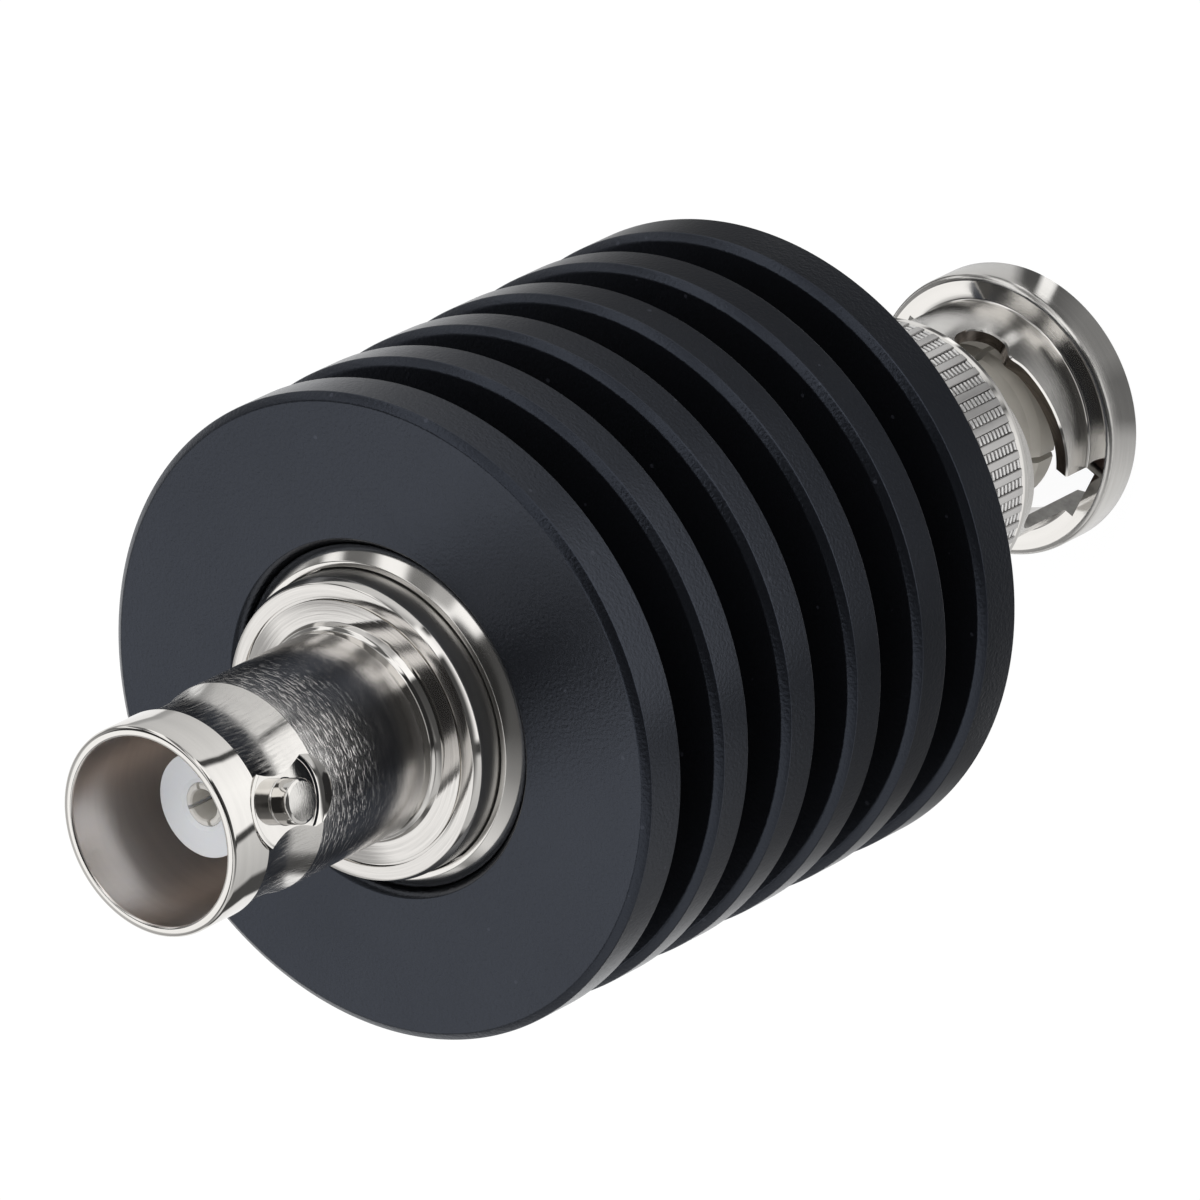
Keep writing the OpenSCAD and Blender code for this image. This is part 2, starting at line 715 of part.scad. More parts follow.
// Outer contact: four sprung fingers, a shoulder for the gasket and a stem in the body
module outer_contact() {
    tip_taper = 0.25;
    slot_end = gasket_z - contact_slot_margin;
    color([0.66, 0.64, 0.6])
    difference() {
        turned([
            [line_bore_r, contact_tip_z], [contact_tip_r - tip_taper, contact_tip_z],
            [contact_tip_r, contact_tip_z + tip_taper],
            [contact_tip_r, contact_tip_z + tip_taper + contact_tip_l],
            [contact_r, contact_tip_z + 3 * tip_taper + contact_tip_l], [contact_r, shoulder_z],
            [shoulder_r, shoulder_z], [shoulder_r, spring_z], [stem_r, spring_z],
            [stem_r, stem_end], [line_bore_r, stem_end]
        ]);
        for (i = [0, 1])
            rotate([0, 0, contact_turn + 45 + 90 * i])
                translate([-2 * contact_r, -contact_slot_w / 2, contact_tip_z - cut])
                    cube([4 * contact_r, contact_slot_w, slot_end - contact_tip_z + cut]);
    }
}

module gasket() {
    color([0.32, 0.12, 0.1])
        tube(shoulder_r, contact_r + push_gap, gasket_z, shoulder_z);
}

// Wave washer: a flat strip bent into waves around the neck
module wave_washer() {
    steps = 72;
    inner = washer_bore_d / 2;
    outer = washer_d / 2;
    lift = (wave_h - wave_t) / 2;
    function wave_z(a) = spring_z + lift * (1 - cos(wave_count * a));
    points = [for (i = [0:steps - 1]) let (a = 360 * i / steps, z = wave_z(a))
        each [
            [inner * cos(a), inner * sin(a), z], [outer * cos(a), outer * sin(a), z],
            [outer * cos(a), outer * sin(a), z + wave_t], [inner * cos(a), inner * sin(a), z + wave_t]
        ]];
    faces = [for (i = [0:steps - 1]) let (p = 4 * i, q = 4 * ((i + 1) % steps))
        for (k = [0:3]) let (n = (k + 1) % 4)
            each [[p + k, q + k, p + n], [p + n, q + k, q + n]]];
    color([0.6, 0.6, 0.6]) polyhedron(points, faces, convexity = 4);
}

module flat_washer() {
    color([0.65, 0.65, 0.66])
        tube(washer_d / 2, washer_bore_d / 2, flat_washer_z, lip_z);
}

// Coupling nut. Its turned outline, from the mouth to the back
knurl_core_r = knurl_d / 2 - knurl_depth - 0.06;
band_r = knurl_band_d / 2;
knurl_z0 = collar_z + knurl_edge;
knurl_z1 = nut_len - knurl_edge;
nut_flange_rad = flange_r - nut_flange_inset;
nut_outline = concat(
    [[0, 0]],
    arc(nut_flange_rad - nut_mouth_r, nut_mouth_r, nut_mouth_r, 270, 360),
    arc(nut_flange_rad - nut_flange_r, nut_flange_t - nut_flange_r, nut_flange_r, 0, 90),
    arc(sleeve_d / 2 + sleeve_fillet, nut_flange_t + sleeve_fillet, sleeve_fillet, 270, 180),
    [
        [sleeve_d / 2, collar_z], [band_r - 0.1, collar_z], [band_r, collar_z + 0.1],
        [band_r, knurl_z0], [knurl_core_r, knurl_z0], [knurl_core_r, knurl_z1],
        [band_r, knurl_z1], [band_r, nut_len - 0.1], [band_r - 0.1, nut_len], [0, nut_len]
    ]
);

// Cross-section of the knurl: flat-topped ribs
knurl_points = [
    for (i = [0:knurl_count - 1])
        let (pitch = 360 / knurl_count, a = i * pitch, top = knurl_top * pitch / 2)
        for (c = [
            [knurl_d / 2, -top], [knurl_d / 2, top],
            [knurl_d / 2 - knurl_depth, pitch / 2 - top / 3], [knurl_d / 2 - knurl_depth, pitch / 2 + top / 3]
        ]) [c[0] * cos(a + c[1]), c[0] * sin(a + c[1])]
];

module knurl() {
    translate([0, 0, knurl_z0]) linear_extrude(height = knurl_z1 - knurl_z0) polygon(knurl_points);
}

// Heights of the cam's two edges at the given turn from the lock. The lug rests on the lower
// edge, which climbs from the entry to a crest and drops into the round lock behind it.
cam_r = cam_w / 2;
cam_floor = detent_z - lug_d / 2;
cam_end_turn = cam_r / (sleeve_d + nut_bore_d) * 720 / PI;
function blend(t) = t <= 0 ? 0 : t >= 1 ? 1 : t * t * (3 - 2 * t);
function cam_line(turn) = cam_floor + crest_h - crest_bump - cam_rise * (turn - crest_turn);
function bump(turn) = crest_bump * exp(-pow(3 * (turn - crest_turn) / crest_turn, 2));
function round_end(turn) = turn >= 0 ? 0 : cam_r * (1 - sqrt(1 - pow(turn / cam_end_turn, 2)));
function cam_front(turn) =
    let (w = blend((turn / crest_turn - 0.25) / 0.75))
    cam_floor * (1 - w) + (cam_line(turn) + bump(turn)) * w + round_end(turn);
function cam_back(turn) =
    let (w = blend(turn / crest_turn / 1.5))
    cam_floor * (1 - w) + cam_line(turn) * w + cam_w - round_end(turn);

// Cutter for one cam: a band swept from the lock to the entry through the sleeve's wall
module cam_band() {
    steps = 44;
    end_steps = 6;
    turns = concat([for (i = [0:end_steps - 1]) -cam_end_turn * cos(8 + 82 * i / end_steps)],
                   [for (i = [0:steps]) cam_turn * i / steps]);
    last = len(turns) - 1;
    inner = nut_bore_d / 2 - cut;
    outer = sleeve_d / 2 + sleeve_fillet + cut / 5;
    points = [for (turn = turns) let (a = cam_turn - turn)
        each [for (c = [
            [inner, cam_front(turn)], [outer, cam_front(turn)],
            [outer, cam_back(turn)], [inner, cam_back(turn)]
        ]) [c[0] * cos(a), c[0] * sin(a), c[1]]]];
    faces = concat(
        [[0, 1, 2, 3]],
        [for (i = [0:last - 1]) for (k = [0:3]) let (n = (k + 1) % 4, p = 4 * i, q = 4 * (i + 1))
            each [[p + k, q + k, p + n], [p + n, q + k, q + n]]],
        [[4 * last + 3, 4 * last + 2, 4 * last + 1, 4 * last]]
    );
    polyhedron(points, faces, convexity = 6);
}

// Cutter for the entry groove: a channel with a round upper end, at angle 0
module entry_groove() {
    top = cam_line(cam_turn) + cam_r;
    intersection() {
        translate([nut_bore_d / 2 - cut, 0, 0]) rotate([90, 0, 90]) linear_extrude(height = 2 * cut)
            polygon(concat([[-entry_w / 2, -cut], [entry_w / 2, -cut]],
                           arc(0, top, entry_w / 2, 0, 180, 10)));
        translate([0, 0, -2 * cut]) cylinder(r = entry_r, h = top + entry_w + 3 * cut);
    }
}

module coupling_nut() {
    mouth_chamfer = 0.3;
    color([0.74, 0.73, 0.71])
    rotate([0, 0, nut_turn])
    difference() {
        union() {
            turned(nut_outline);
            knurl();
        }
        translate([0, 0, -cut]) cylinder(d = nut_bore_d, h = lip_z + cut);
        translate([0, 0, -push_gap])
            cylinder(d1 = nut_bore_d + 2 * mouth_chamfer, d2 = nut_bore_d, h = mouth_chamfer);
        translate([0, 0, lip_z - cut]) cylinder(d = lip_bore_d, h = lip_t + 2 * cut);
        translate([0, 0, lip_back]) cylinder(r = plug_body_d / 2 + 0.1, h = nut_tail + cut);
        for (i = [0, 1]) rotate([0, 0, 180 * i]) {
            cam_band();
            entry_groove();
        }
    }
}

heat_sink();
housing();
jack_body();
jack_insulator();
jack_bead();
jack_contact();
input_tab();
input_pad();
carrier_base();
carrier_cap();
chip_substrate();
resistor_film();
ground_strips();
output_pad();
output_tab();
plug_body();
plug_bead();
plug_insulator();
plug_pin();
outer_contact();
gasket();
wave_washer();
flat_washer();
coupling_nut();
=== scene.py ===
# %% [markdown]
# # A finned coaxial attenuator
#
# The object is a radio part about as long as a thumb: a black anodised heat sink with six fins,
# a nickel plated bayonet jack at one end, and a bayonet plug with a knurled, turning nut at the
# other. Nearly every piece of it was made on a lathe, so nearly every piece here starts as half
# an outline that is spun about the Z axis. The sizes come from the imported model, and this file
# gives it edges that catch the light, tool marks, and metal that looks plated.

import math

import bmesh
import bpy
from mathutils import Matrix, Vector


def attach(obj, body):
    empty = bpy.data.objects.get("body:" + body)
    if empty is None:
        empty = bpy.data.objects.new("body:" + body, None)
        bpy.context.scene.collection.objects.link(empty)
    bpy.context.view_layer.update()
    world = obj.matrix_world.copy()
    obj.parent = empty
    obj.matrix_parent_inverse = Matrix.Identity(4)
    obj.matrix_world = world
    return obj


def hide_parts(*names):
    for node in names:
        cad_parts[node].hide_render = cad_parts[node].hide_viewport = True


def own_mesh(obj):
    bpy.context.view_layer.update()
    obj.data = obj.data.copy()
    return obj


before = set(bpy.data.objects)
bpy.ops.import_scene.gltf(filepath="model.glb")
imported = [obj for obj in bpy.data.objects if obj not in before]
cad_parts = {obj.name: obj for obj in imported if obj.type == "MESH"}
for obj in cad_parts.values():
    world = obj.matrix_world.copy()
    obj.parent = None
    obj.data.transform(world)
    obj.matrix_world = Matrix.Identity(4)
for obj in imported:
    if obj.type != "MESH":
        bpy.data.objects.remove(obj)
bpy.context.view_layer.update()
MM = 0.001

# %% [markdown]
# ## Outlines that are spun
#
# A lathe leaves no edge quite sharp. In each outline below a point is a radius, a height and how
# far its corner is broken, in millimetres. The corners are bevelled while the outline is still
# one flat face, which is a single cheap operator, and the outline is then spun. Bevelling the
# finished solid would work too, but it is slow and fails where edges are close together.

# %% Bevel an outline and spin it
def spun(outline, steps=192, segments=3):
    """A closed solid of revolution about Z, as a bmesh, from (radius, height, corner) points."""
    shape = bmesh.new()
    corners = [shape.verts.new((r * MM, 0, z * MM)) for r, z, _ in outline]
    shape.faces.new(corners)
    for size in sorted({c for _, _, c in outline if c}):
        picked = [v for v, (_, _, c) in zip(corners, outline) if c == size]
        bmesh.ops.bevel(shape, geom=picked, offset=size * MM, offset_type="OFFSET",
                        segments=segments, profile=0.5, affect="VERTICES", clamp_overlap=True,
                        material=-1)
    bmesh.ops.delete(shape, geom=shape.faces[:], context="FACES_ONLY")
    bmesh.ops.spin(shape, geom=shape.verts[:] + shape.edges[:], cent=(0, 0, 0), axis=(0, 0, 1),
                   angle=2 * math.pi, steps=steps, use_merge=True)
    bmesh.ops.remove_doubles(shape, verts=shape.verts[:], dist=1e-7)
    bmesh.ops.dissolve_degenerate(shape, edges=shape.edges[:], dist=1e-8)
    bmesh.ops.recalc_face_normals(shape, faces=shape.faces[:])
    return shape


# %% Turn a bmesh into an object
def mesh_from(name, shape):
    """Makes a mesh from a bmesh, which is freed."""
    mesh = bpy.data.meshes.new(name)
    shape.to_mesh(mesh)
    shape.free()
    return mesh


def put_in_scene(name, data):
    """Makes an object that holds a mesh, a lamp or a camera."""
    thing = bpy.data.objects.new(name, data)
    bpy.context.scene.collection.objects.link(thing)
    return thing


# %% [markdown]
# Bevels shade well only when the wide faces keep their own direction. A Weighted Normal modifier
# does that: it leans each corner's normal to the largest face, so flats stay flat and the thin
# bevels take up the turn, as a real broken edge does. Edges stay sharp where the surface turns
# by more than a set angle and where two finishes meet.

# %% Turn a bmesh into a piece of the part
SHARP_ANGLE = math.radians(38)


def finish_piece(name, shape, finishes, body, node=None):
    """Makes an object from a bmesh, rides it on a body and lets it stand for a CAD node."""
    for face in shape.faces:
        face.smooth = True
    for edge in shape.edges:
        finishes_met = {face.material_index for face in edge.link_faces}
        if len(finishes_met) > 1 or edge.calc_face_angle(0) > SHARP_ANGLE:
            edge.smooth = False
    mesh = mesh_from(name, shape)
    piece = put_in_scene(name, mesh)
    for finish in finishes:
        mesh.materials.append(finish)
    weigh = piece.modifiers.new("weighted normals", "WEIGHTED_NORMAL")
    weigh.keep_sharp = True
    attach(piece, body)
    if node:
        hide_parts(node)
    print(name, "has", len(mesh.polygons), "faces")
    return piece


# %% [markdown]
# ## Cuts
#
# Slots and pockets are booleans. Each cutter's faces carry a slot number, and the faces that it
# leaves in the solid keep that number, so that a cut can be given a finish of its own later.
# Slot 0 is the skin that the solid had before.

# %% Cut shapes out of a bmesh
SLOT_NAMES = ("skin", "cut", "second cut")
CUT, SECOND_CUT = 1, 2


def in_slot(shape, slot):
    """Gives all faces of a cutter one slot number."""
    for face in shape.faces:
        face.material_index = slot
    return shape


def cut_from(shape, cutters):
    """Takes the cutters, bmeshes too, out of a bmesh and returns what is left."""
    solid = put_in_scene("work", mesh_from("work", shape))
    for name in SLOT_NAMES:
        solid.data.materials.append(bpy.data.materials.get(name) or bpy.data.materials.new(name))
    tools = [put_in_scene("work", mesh_from("work", cutter)) for cutter in cutters]
    for tool in tools:
        for material in solid.data.materials:
            tool.data.materials.append(material)
        step = solid.modifiers.new("cut", "BOOLEAN")
        step.operation, step.solver, step.object = "DIFFERENCE", "EXACT", tool
    graph = bpy.context.evaluated_depsgraph_get()
    result = bmesh.new()
    result.from_mesh(solid.evaluated_get(graph).to_mesh())
    for thing in tools + [solid]:
        mesh = thing.data
        bpy.data.objects.remove(thing)
        bpy.data.meshes.remove(mesh)
    bmesh.ops.remove_doubles(result, verts=result.verts[:], dist=2e-7)
    for edge in result.edges:
        if len({face.material_index for face in edge.link_faces}) > 1:
            edge.smooth = False
    return result


# %% [markdown]
# ## Finishes
#
# Three effects turn up in many materials, so each is a node group: the fine rings that a lathe
# tool leaves, the grain of bead blasting, and the faint uneven cloudiness that handling leaves
# on any metal. They put out heights and masks only. The shaders stay in the materials, where
# their plain numbers can be read by an exporter.

# %% Helpers for node trees
def add(tree, kind, inputs=(), **settings):
    """Adds a node, sets its properties, and links or sets its inputs by name or number."""
    node = tree.nodes.new(kind)
    for key, value in settings.items():
        setattr(node, key, value)
    for key, value in dict(inputs).items():
        if isinstance(value, bpy.types.NodeSocket):
            tree.links.new(value, node.inputs[key])
        else:
            node.inputs[key].default_value = value
    return node


def maths(tree, operation, a, b=0.0):
    return add(tree, "ShaderNodeMath", {0: a, 1: b}, operation=operation).outputs[0]


def remap(tree, value, start, end, low=0.0, high=1.0, **settings):
    """Maps a value that runs from start to end to one that runs from low to high."""
    limits = {"Value": value, "From Min": start, "From Max": end, "To Min": low, "To Max": high}
    return add(tree, "ShaderNodeMapRange", limits, **settings).outputs[0]


def mix(tree, part, low, high):
    """Passes from one colour to another as part goes from 0 to 1."""
    return add(tree, "ShaderNodeMix", {0: part, 6: low, 7: high}, data_type="RGBA").outputs[2]


def new_group(name, inputs, outputs):
    group = bpy.data.node_groups.new(name, "ShaderNodeTree")
    for label, value in inputs.items():
        socket = group.interface.new_socket(label, in_out="INPUT", socket_type="NodeSocketFloat")
        socket.default_value = value
    for label in outputs:
        group.interface.new_socket(label, in_out="OUTPUT", socket_type="NodeSocketFloat")
    given = group.nodes.new("NodeGroupInput").outputs
    return group, given, group.nodes.new("NodeGroupOutput").inputs


def object_place(tree):
    return add(tree, "ShaderNodeTexCoord").outputs["Object"]


# %% Node group: rings left by a lathe tool
# The pattern follows radius plus height, so it makes rings on a face and hoops on a barrel.
rings, given, out = new_group("lathe rings", {"Lines per mm": 12.0, "Length": 6.0}, ["Height", "Fine"])
axis = add(rings, "ShaderNodeSeparateXYZ", {0: object_place(rings)}).outputs
flat = add(rings, "ShaderNodeCombineXYZ", {"X": axis["X"], "Y": axis["Y"]}).outputs[0]
radius = add(rings, "ShaderNodeVectorMath", {0: flat}, operation="LENGTH").outputs["Value"]
around = add(rings, "ShaderNodeVectorMath", {0: flat}, operation="NORMALIZE").outputs[0]
round_way = add(rings, "ShaderNodeSeparateXYZ", {0: around}).outputs
along = maths(rings, "MULTIPLY", maths(rings, "ADD", radius, axis["Z"]), 1000.0)
line = maths(rings, "MULTIPLY", along, given["Lines per mm"])
turn_x = maths(rings, "MULTIPLY", round_way["X"], given["Length"])
turn_y = maths(rings, "MULTIPLY", round_way["Y"], given["Length"])
where = add(rings, "ShaderNodeCombineXYZ", {"X": turn_x, "Y": turn_y, "Z": line}).outputs[0]
streak = add(rings, "ShaderNodeTexNoise", {"Vector": where, "Scale": 1.0, "Detail": 3.0, "Roughness": 0.6})
wide = add(rings, "ShaderNodeTexNoise", {"Vector": where, "Scale": 0.23, "Detail": 2.0})
rings.links.new(streak.outputs[0], out["Height"])
rings.links.new(wide.outputs[0], out["Fine"])

# %% Node group: grain of bead blasting
grain, given, out = new_group("blast grain", {"Grains per mm": 9.0}, ["Height", "Speck"])
place = object_place(grain)
size = maths(grain, "MULTIPLY", given["Grains per mm"], 1000.0)
pits = add(grain, "ShaderNodeTexNoise", {"Vector": place, "Scale": size, "Detail": 2.0, "Roughness": 0.55})
specks = add(grain, "ShaderNodeTexVoronoi", {"Vector": place, "Scale": maths(grain, "MULTIPLY", size, 0.09)})
grain.links.new(pits.outputs[0], out["Height"])
grain.links.new(maths(grain, "LESS_THAN", specks.outputs["Distance"], 0.055), out["Speck"])

# %% Node group: cloudiness from handling
cloud, given, out = new_group("handling", {"Size mm": 6.0}, ["Cloud"])
size = maths(cloud, "DIVIDE", 1000.0, given["Size mm"])
soft = add(cloud, "ShaderNodeTexNoise", {"Vector": object_place(cloud), "Scale": size, "Detail": 4.0,
                                         "Roughness": 0.6})
cloud.links.new(soft.outputs[0], out["Cloud"])


# %% A material with a Principled shader, ready for its textures
def new_material(name, color, roughness, metallic=0.0):
    material = bpy.data.materials.new(name)
    material.use_nodes = True
    tree = material.node_tree
    shader = tree.nodes["Principled BSDF"]
    shader.inputs["Base Color"].default_value = (*color, 1)
    shader.inputs["Roughness"].default_value = roughness
    shader.inputs["Metallic"].default_value = metallic
    material.diffuse_color = (*color, 1)
    return material, tree, shader


def group_node(tree, group, **values):
    node = tree.nodes.new("ShaderNodeGroup")
    node.node_tree = group
    for label, value in values.items():
        node.inputs[label.replace("_", " ")].default_value = value
    return node.outputs


def bump(tree, shader, height, distance):
    """Feeds a height, in units of distance metres, to the shader's normal."""
    node = add(tree, "ShaderNodeBump", {"Height": height, "Distance": distance, "Strength": 1.0})
    tree.links.new(node.outputs[0], shader.inputs["Normal"])


def spread(tree, value, low, high):
    """Maps a noise value, which keeps near one half, to a range."""
    return remap(tree, value, 0.3, 0.7, low, high)


def tint(tree, value, dark, light):
    return mix(tree, value, (*dark, 1), (*light, 1))


# %% [markdown]
# ### Nickel
#
# Bright nickel is almost a mirror with a warm grey cast. What sets one face off from the next is
# how it was cut: polished, turned with a fine feed, or brushed on a belt. A real brushed surface
# spreads reflections across its lines, and fine hoops of bump do the same here, because they
# tilt the surface along the axis and hardly at all around it.
#
# Two marks are stronger. The wiped finish, in the jack's waist, has long rough strokes round it.
# The barrel has short deep scratches where the plug's nut has rubbed it. They are the crests of
# the same ring pattern, and they fade out towards the flange.

# %% Nickel in its several finishes
CLOUD_SHARE, RING_SHARE, DARK_SHARE = 0.6, 0.4, 0.93
WIPE_STROKES = {"Lines_per_mm": 0.9, "Length": 42.0}
SCRATCH_RINGS = {"Lines_per_mm": 9.0, "Length": 9.0}
SCRATCH_CREST = 0.54
SCRATCH_FADE_LOW, SCRATCH_FADE_HIGH, SCRATCH_LEAST = 0.0525, 0.0562, 0.1


def nickel(name, color=(0.76, 0.74, 0.71), rough=(0.05, 0.12), lines=14.0, length=5.0, depth=0.0,
           scratch=0.0, wipe=0.0, cloud_size=5.0, ring_shade=0.0):
    """A nickel finish. Rings are depth mm deep, scratches scratch mm, and darkened rings are painted shade.
    """
    material, tree, shader = new_material(name, color, rough[0], 1.0)
    marks = group_node(tree, rings, Lines_per_mm=lines, Length=length)
    hand = group_node(tree, cloud, Size_mm=cloud_size)
    mixed = maths(tree, "ADD", maths(tree, "MULTIPLY", hand["Cloud"], CLOUD_SHARE),
                  maths(tree, "MULTIPLY", marks["Fine"], RING_SHARE))
    level = spread(tree, mixed, *rough)
    if wipe:
        strokes = group_node(tree, rings, **WIPE_STROKES)
        stroke = spread(tree, strokes["Height"], 0, 1)
        level = maths(tree, "ADD", level, maths(tree, "MULTIPLY", stroke, wipe))
    tree.links.new(level, shader.inputs["Roughness"])
    # Darkened rings are painted shade: the dark that real lathe lines would mirror, put into the colour.
    # Otherwise the darker tone is only unevenness.
    darker = tuple(c * (DARK_SHARE - ring_shade) for c in color)
    shade = spread(tree, marks["Height" if ring_shade else "Fine"], 0, 1)
    tree.links.new(tint(tree, shade, darker, color), shader.inputs["Base Color"])
    height = maths(tree, "MULTIPLY", marks["Height"], depth * MM)
    if scratch:
        coarse = group_node(tree, rings, **SCRATCH_RINGS)
        crest = maths(tree, "MAXIMUM", maths(tree, "SUBTRACT", coarse["Height"], SCRATCH_CREST), 0.0)
        up_axis = add(tree, "ShaderNodeSeparateXYZ", {0: object_place(tree)}).outputs["Z"]
        worn = remap(tree, up_axis, SCRATCH_FADE_LOW, SCRATCH_FADE_HIGH, SCRATCH_LEAST)
        cut_in = maths(tree, "MULTIPLY", maths(tree, "MULTIPLY", crest, worn), scratch * MM)
        height = maths(tree, "ADD", height, cut_in)
    bump(tree, shader, height, 1.0)
    return material


mirror = nickel("polished nickel", rough=(0.03, 0.08), depth=0.0004, lines=10, length=3)
brushed = nickel("brushed nickel", color=(0.68, 0.665, 0.64), rough=(0.13, 0.24), depth=0.007, lines=20,
                 length=10)
barrel = nickel("scratched nickel", color=(0.82, 0.80, 0.78), rough=(0.14, 0.23), depth=0.003, lines=20,
                length=8, scratch=0.05)
wiped = nickel("wiped nickel", rough=(0.04, 0.10), depth=0.0006, lines=8, length=12, wipe=0.22)
# The faced nickel's dark rings are painted shade.
faced = nickel("faced nickel", color=(0.70, 0.68, 0.655), rough=(0.04, 0.09), depth=0.0016, lines=9,
               length=1.5, ring_shade=0.1)
turned = nickel("turned nickel", color=(0.60, 0.59, 0.57), rough=(0.28, 0.36), depth=0.002, lines=9)
rim = nickel("rolled nickel", rough=(0.06, 0.20), depth=0.001, lines=6, length=3, cloud_size=2.0)
# The bore's nickel is rougher, which is its satin finish, and brighter and warmer than the rest, which is
# painted light in the bore.
satin = nickel("satin nickel bore with painted light", color=(0.88, 0.825, 0.785), rough=(0.26, 0.36), depth=0.002, lines=9,
               length=4)
cut_metal = nickel("cut nickel", color=(0.34, 0.30, 0.265), rough=(0.22, 0.4), depth=0.004, lines=7,
                   length=3, ring_shade=0.35)
# The knurl's ribs and teeth are one nickel in two tones: the ribs' grey is painted shade, the teeth's near
# white is a painted highlight.
shaded_rib_nickel = nickel("nickel with painted light", color=(0.56, 0.55, 0.54), rough=(0.28, 0.38), depth=0.003, lines=9,
                   length=4)
lit_tooth_nickel = nickel("bright nickel with painted light", color=(0.84, 0.83, 0.82), rough=(0.26, 0.36))

# %% [markdown]
# ### Black anodised aluminium
#
# Anodising is a thin dyed glass over metal. It is nearly black, with a soft grey sheen that bead
# blasting spreads wide. A faint blue in the sheen, a roughness near 0.3 and a fine bump give
# that, and tiny specks that are a little less black stand for dust and nicked grains.

# %% Anodised finish
DYED, NICKED = (0.0035, 0.0037, 0.0045), (0.02, 0.021, 0.026)
black, tree, shader = new_material("black anodised", DYED, 0.30)
shader.inputs["IOR"].default_value = 1.62
shader.inputs["Specular Tint"].default_value = (0.70, 0.79, 1.0, 1)
blast = group_node(tree, grain, Grains_per_mm=6.0)
hand = group_node(tree, cloud, Size_mm=9.0)
tree.links.new(spread(tree, hand["Cloud"], 0.27, 0.33), shader.inputs["Roughness"])
tree.links.new(tint(tree, blast["Speck"], DYED, NICKED), shader.inputs["Base Color"])
bump(tree, shader, blast["Height"], 0.018 * MM)

# %% [markdown]
# ### Plastics, springs and the small inner parts
#
# The insulators are fluoropolymer: white, slightly blue, and soft to light, so they get a little
# subsurface scattering. The inner parts are rarely seen, yet each has its own metal or ceramic.

# %% A plain material with some unevenness, for the rest
def plain(name, color, roughness, metallic=0.0, vary=0.12, cloud_size=2.0):
    material, tree, shader = new_material(name, color, roughness, metallic)
    hand = group_node(tree, cloud, Size_mm=cloud_size)
    low = tuple(c * (1 - vary) for c in color)
    tree.links.new(tint(tree, spread(tree, hand["Cloud"], 0, 1), low, color), shader.inputs["Base Color"])
    uneven = spread(tree, hand["Cloud"], roughness * 0.85, min(1, roughness * 1.15))
    tree.links.new(uneven, shader.inputs["Roughness"])
    bump(tree, shader, hand["Cloud"], 0.0008 * MM)
    return material


milled = plain("milled nickel", (0.46, 0.45, 0.43), 0.48, 0.45, vary=0.45, cloud_size=0.7)
white_plastic = plain("white insulator", (0.93, 0.96, 1.0), 0.38, vary=0.02)
shader = white_plastic.node_tree.nodes["Principled BSDF"]
shader.inputs["Subsurface Weight"].default_value = 0.25
shader.inputs["Subsurface Radius"].default_value = (0.0006, 0.0007, 0.0009)

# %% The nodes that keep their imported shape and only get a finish
SMALL_FINISHES = (
    (white_plastic, ("jack_insulator", "plug_insulator")),
    (plain("pale bead", (0.78, 0.79, 0.76), 0.4), ("jack_bead", "plug_bead")),
    # The socket metal is near white and scarcely metallic: its whiteness is a painted highlight on a silver
    # contact.
    (plain("socket metal with painted highlight", (0.93, 0.91, 0.86), 0.40, 0.2), ("jack_contact", "plug_pin")),
    (plain("spring bronze", (0.60, 0.38, 0.20), 0.3, 1.0), ("input_tab", "output_tab")),
    (plain("fired metal film", (0.66, 0.62, 0.50), 0.45, 1.0), ("input_pad", "output_pad", "ground_strips")),
    (plain("machined brass", (0.62, 0.46, 0.22), 0.28, 1.0), ("carrier_base", "carrier_cap")),
    (plain("alumina", (0.82, 0.81, 0.76), 0.6), ("chip_substrate",)),
    (plain("resistor film", (0.05, 0.045, 0.04), 0.7), ("resistor_film",)),
    (plain("white bronze contact", (0.62, 0.59, 0.53), 0.42, 0.3), ("outer_contact",)),
    (plain("dull red rubber", (0.30, 0.21, 0.19), 0.6), ("gasket",)),
    (plain("spring steel", (0.48, 0.48, 0.49), 0.25, 1.0), ("wave_washer", "flat_washer")),
)
for finish, node_names in SMALL_FINISHES:
    for node_name in node_names:
        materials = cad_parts[node_name].data.materials
        for i in range(len(materials)):
            materials[i] = finish

# %% [markdown]
# ## The heat sink
#
# One bar of aluminium, turned to six fins. Each fin has a chamfer on the side that faces the
# jack, and the grooves end in small fillets. The whole outline is walked once, from the bore,
# along the back, over the fins and back through the bore.

# %% Heat sink
FINS = [(20.75, 2.35), (25.95, 2.0), (30.80, 2.0), (35.65, 2.0), (40.50, 2.0), (45.35, 2.35)]
SINK_BACK, SINK_FRONT = 20.75, 47.70
SINK_BORE_R, SINK_MOUTH_R, GROOVE_R, FIN_R = 8.0, 8.32, 9.6, 15
FIN_CHAMFER, FIN_CHAMFER_L, GROOVE_FILLET = 0.37, 0.27, 0.4

outline = [(SINK_BORE_R, 21.2, 0), (SINK_MOUTH_R, SINK_BACK, 0.03)]
for start, thick in FINS:
    end = start + thick
    if start != FINS[0][0]:
        outline.append((GROOVE_R, start, GROOVE_FILLET))
    outline += [(FIN_R, start, 0.06), (FIN_R, end - FIN_CHAMFER_L, 0.05), (FIN_R - FIN_CHAMFER, end, 0.06)]
    if start != FINS[-1][0]:
        outline.append((GROOVE_R, end, GROOVE_FILLET))
outline += [(SINK_MOUTH_R, SINK_FRONT, 0.03), (SINK_BORE_R, 47.25, 0)]
heat_sink = finish_piece("finned_heat_sink", spun(outline, steps=256), [black], "body", "heat_sink")

# %% [markdown]
# ## The nickel sleeve
#
# A tube pressed into the heat sink. Only its sloping rims show, as the bright ring round the
# flange at each end.

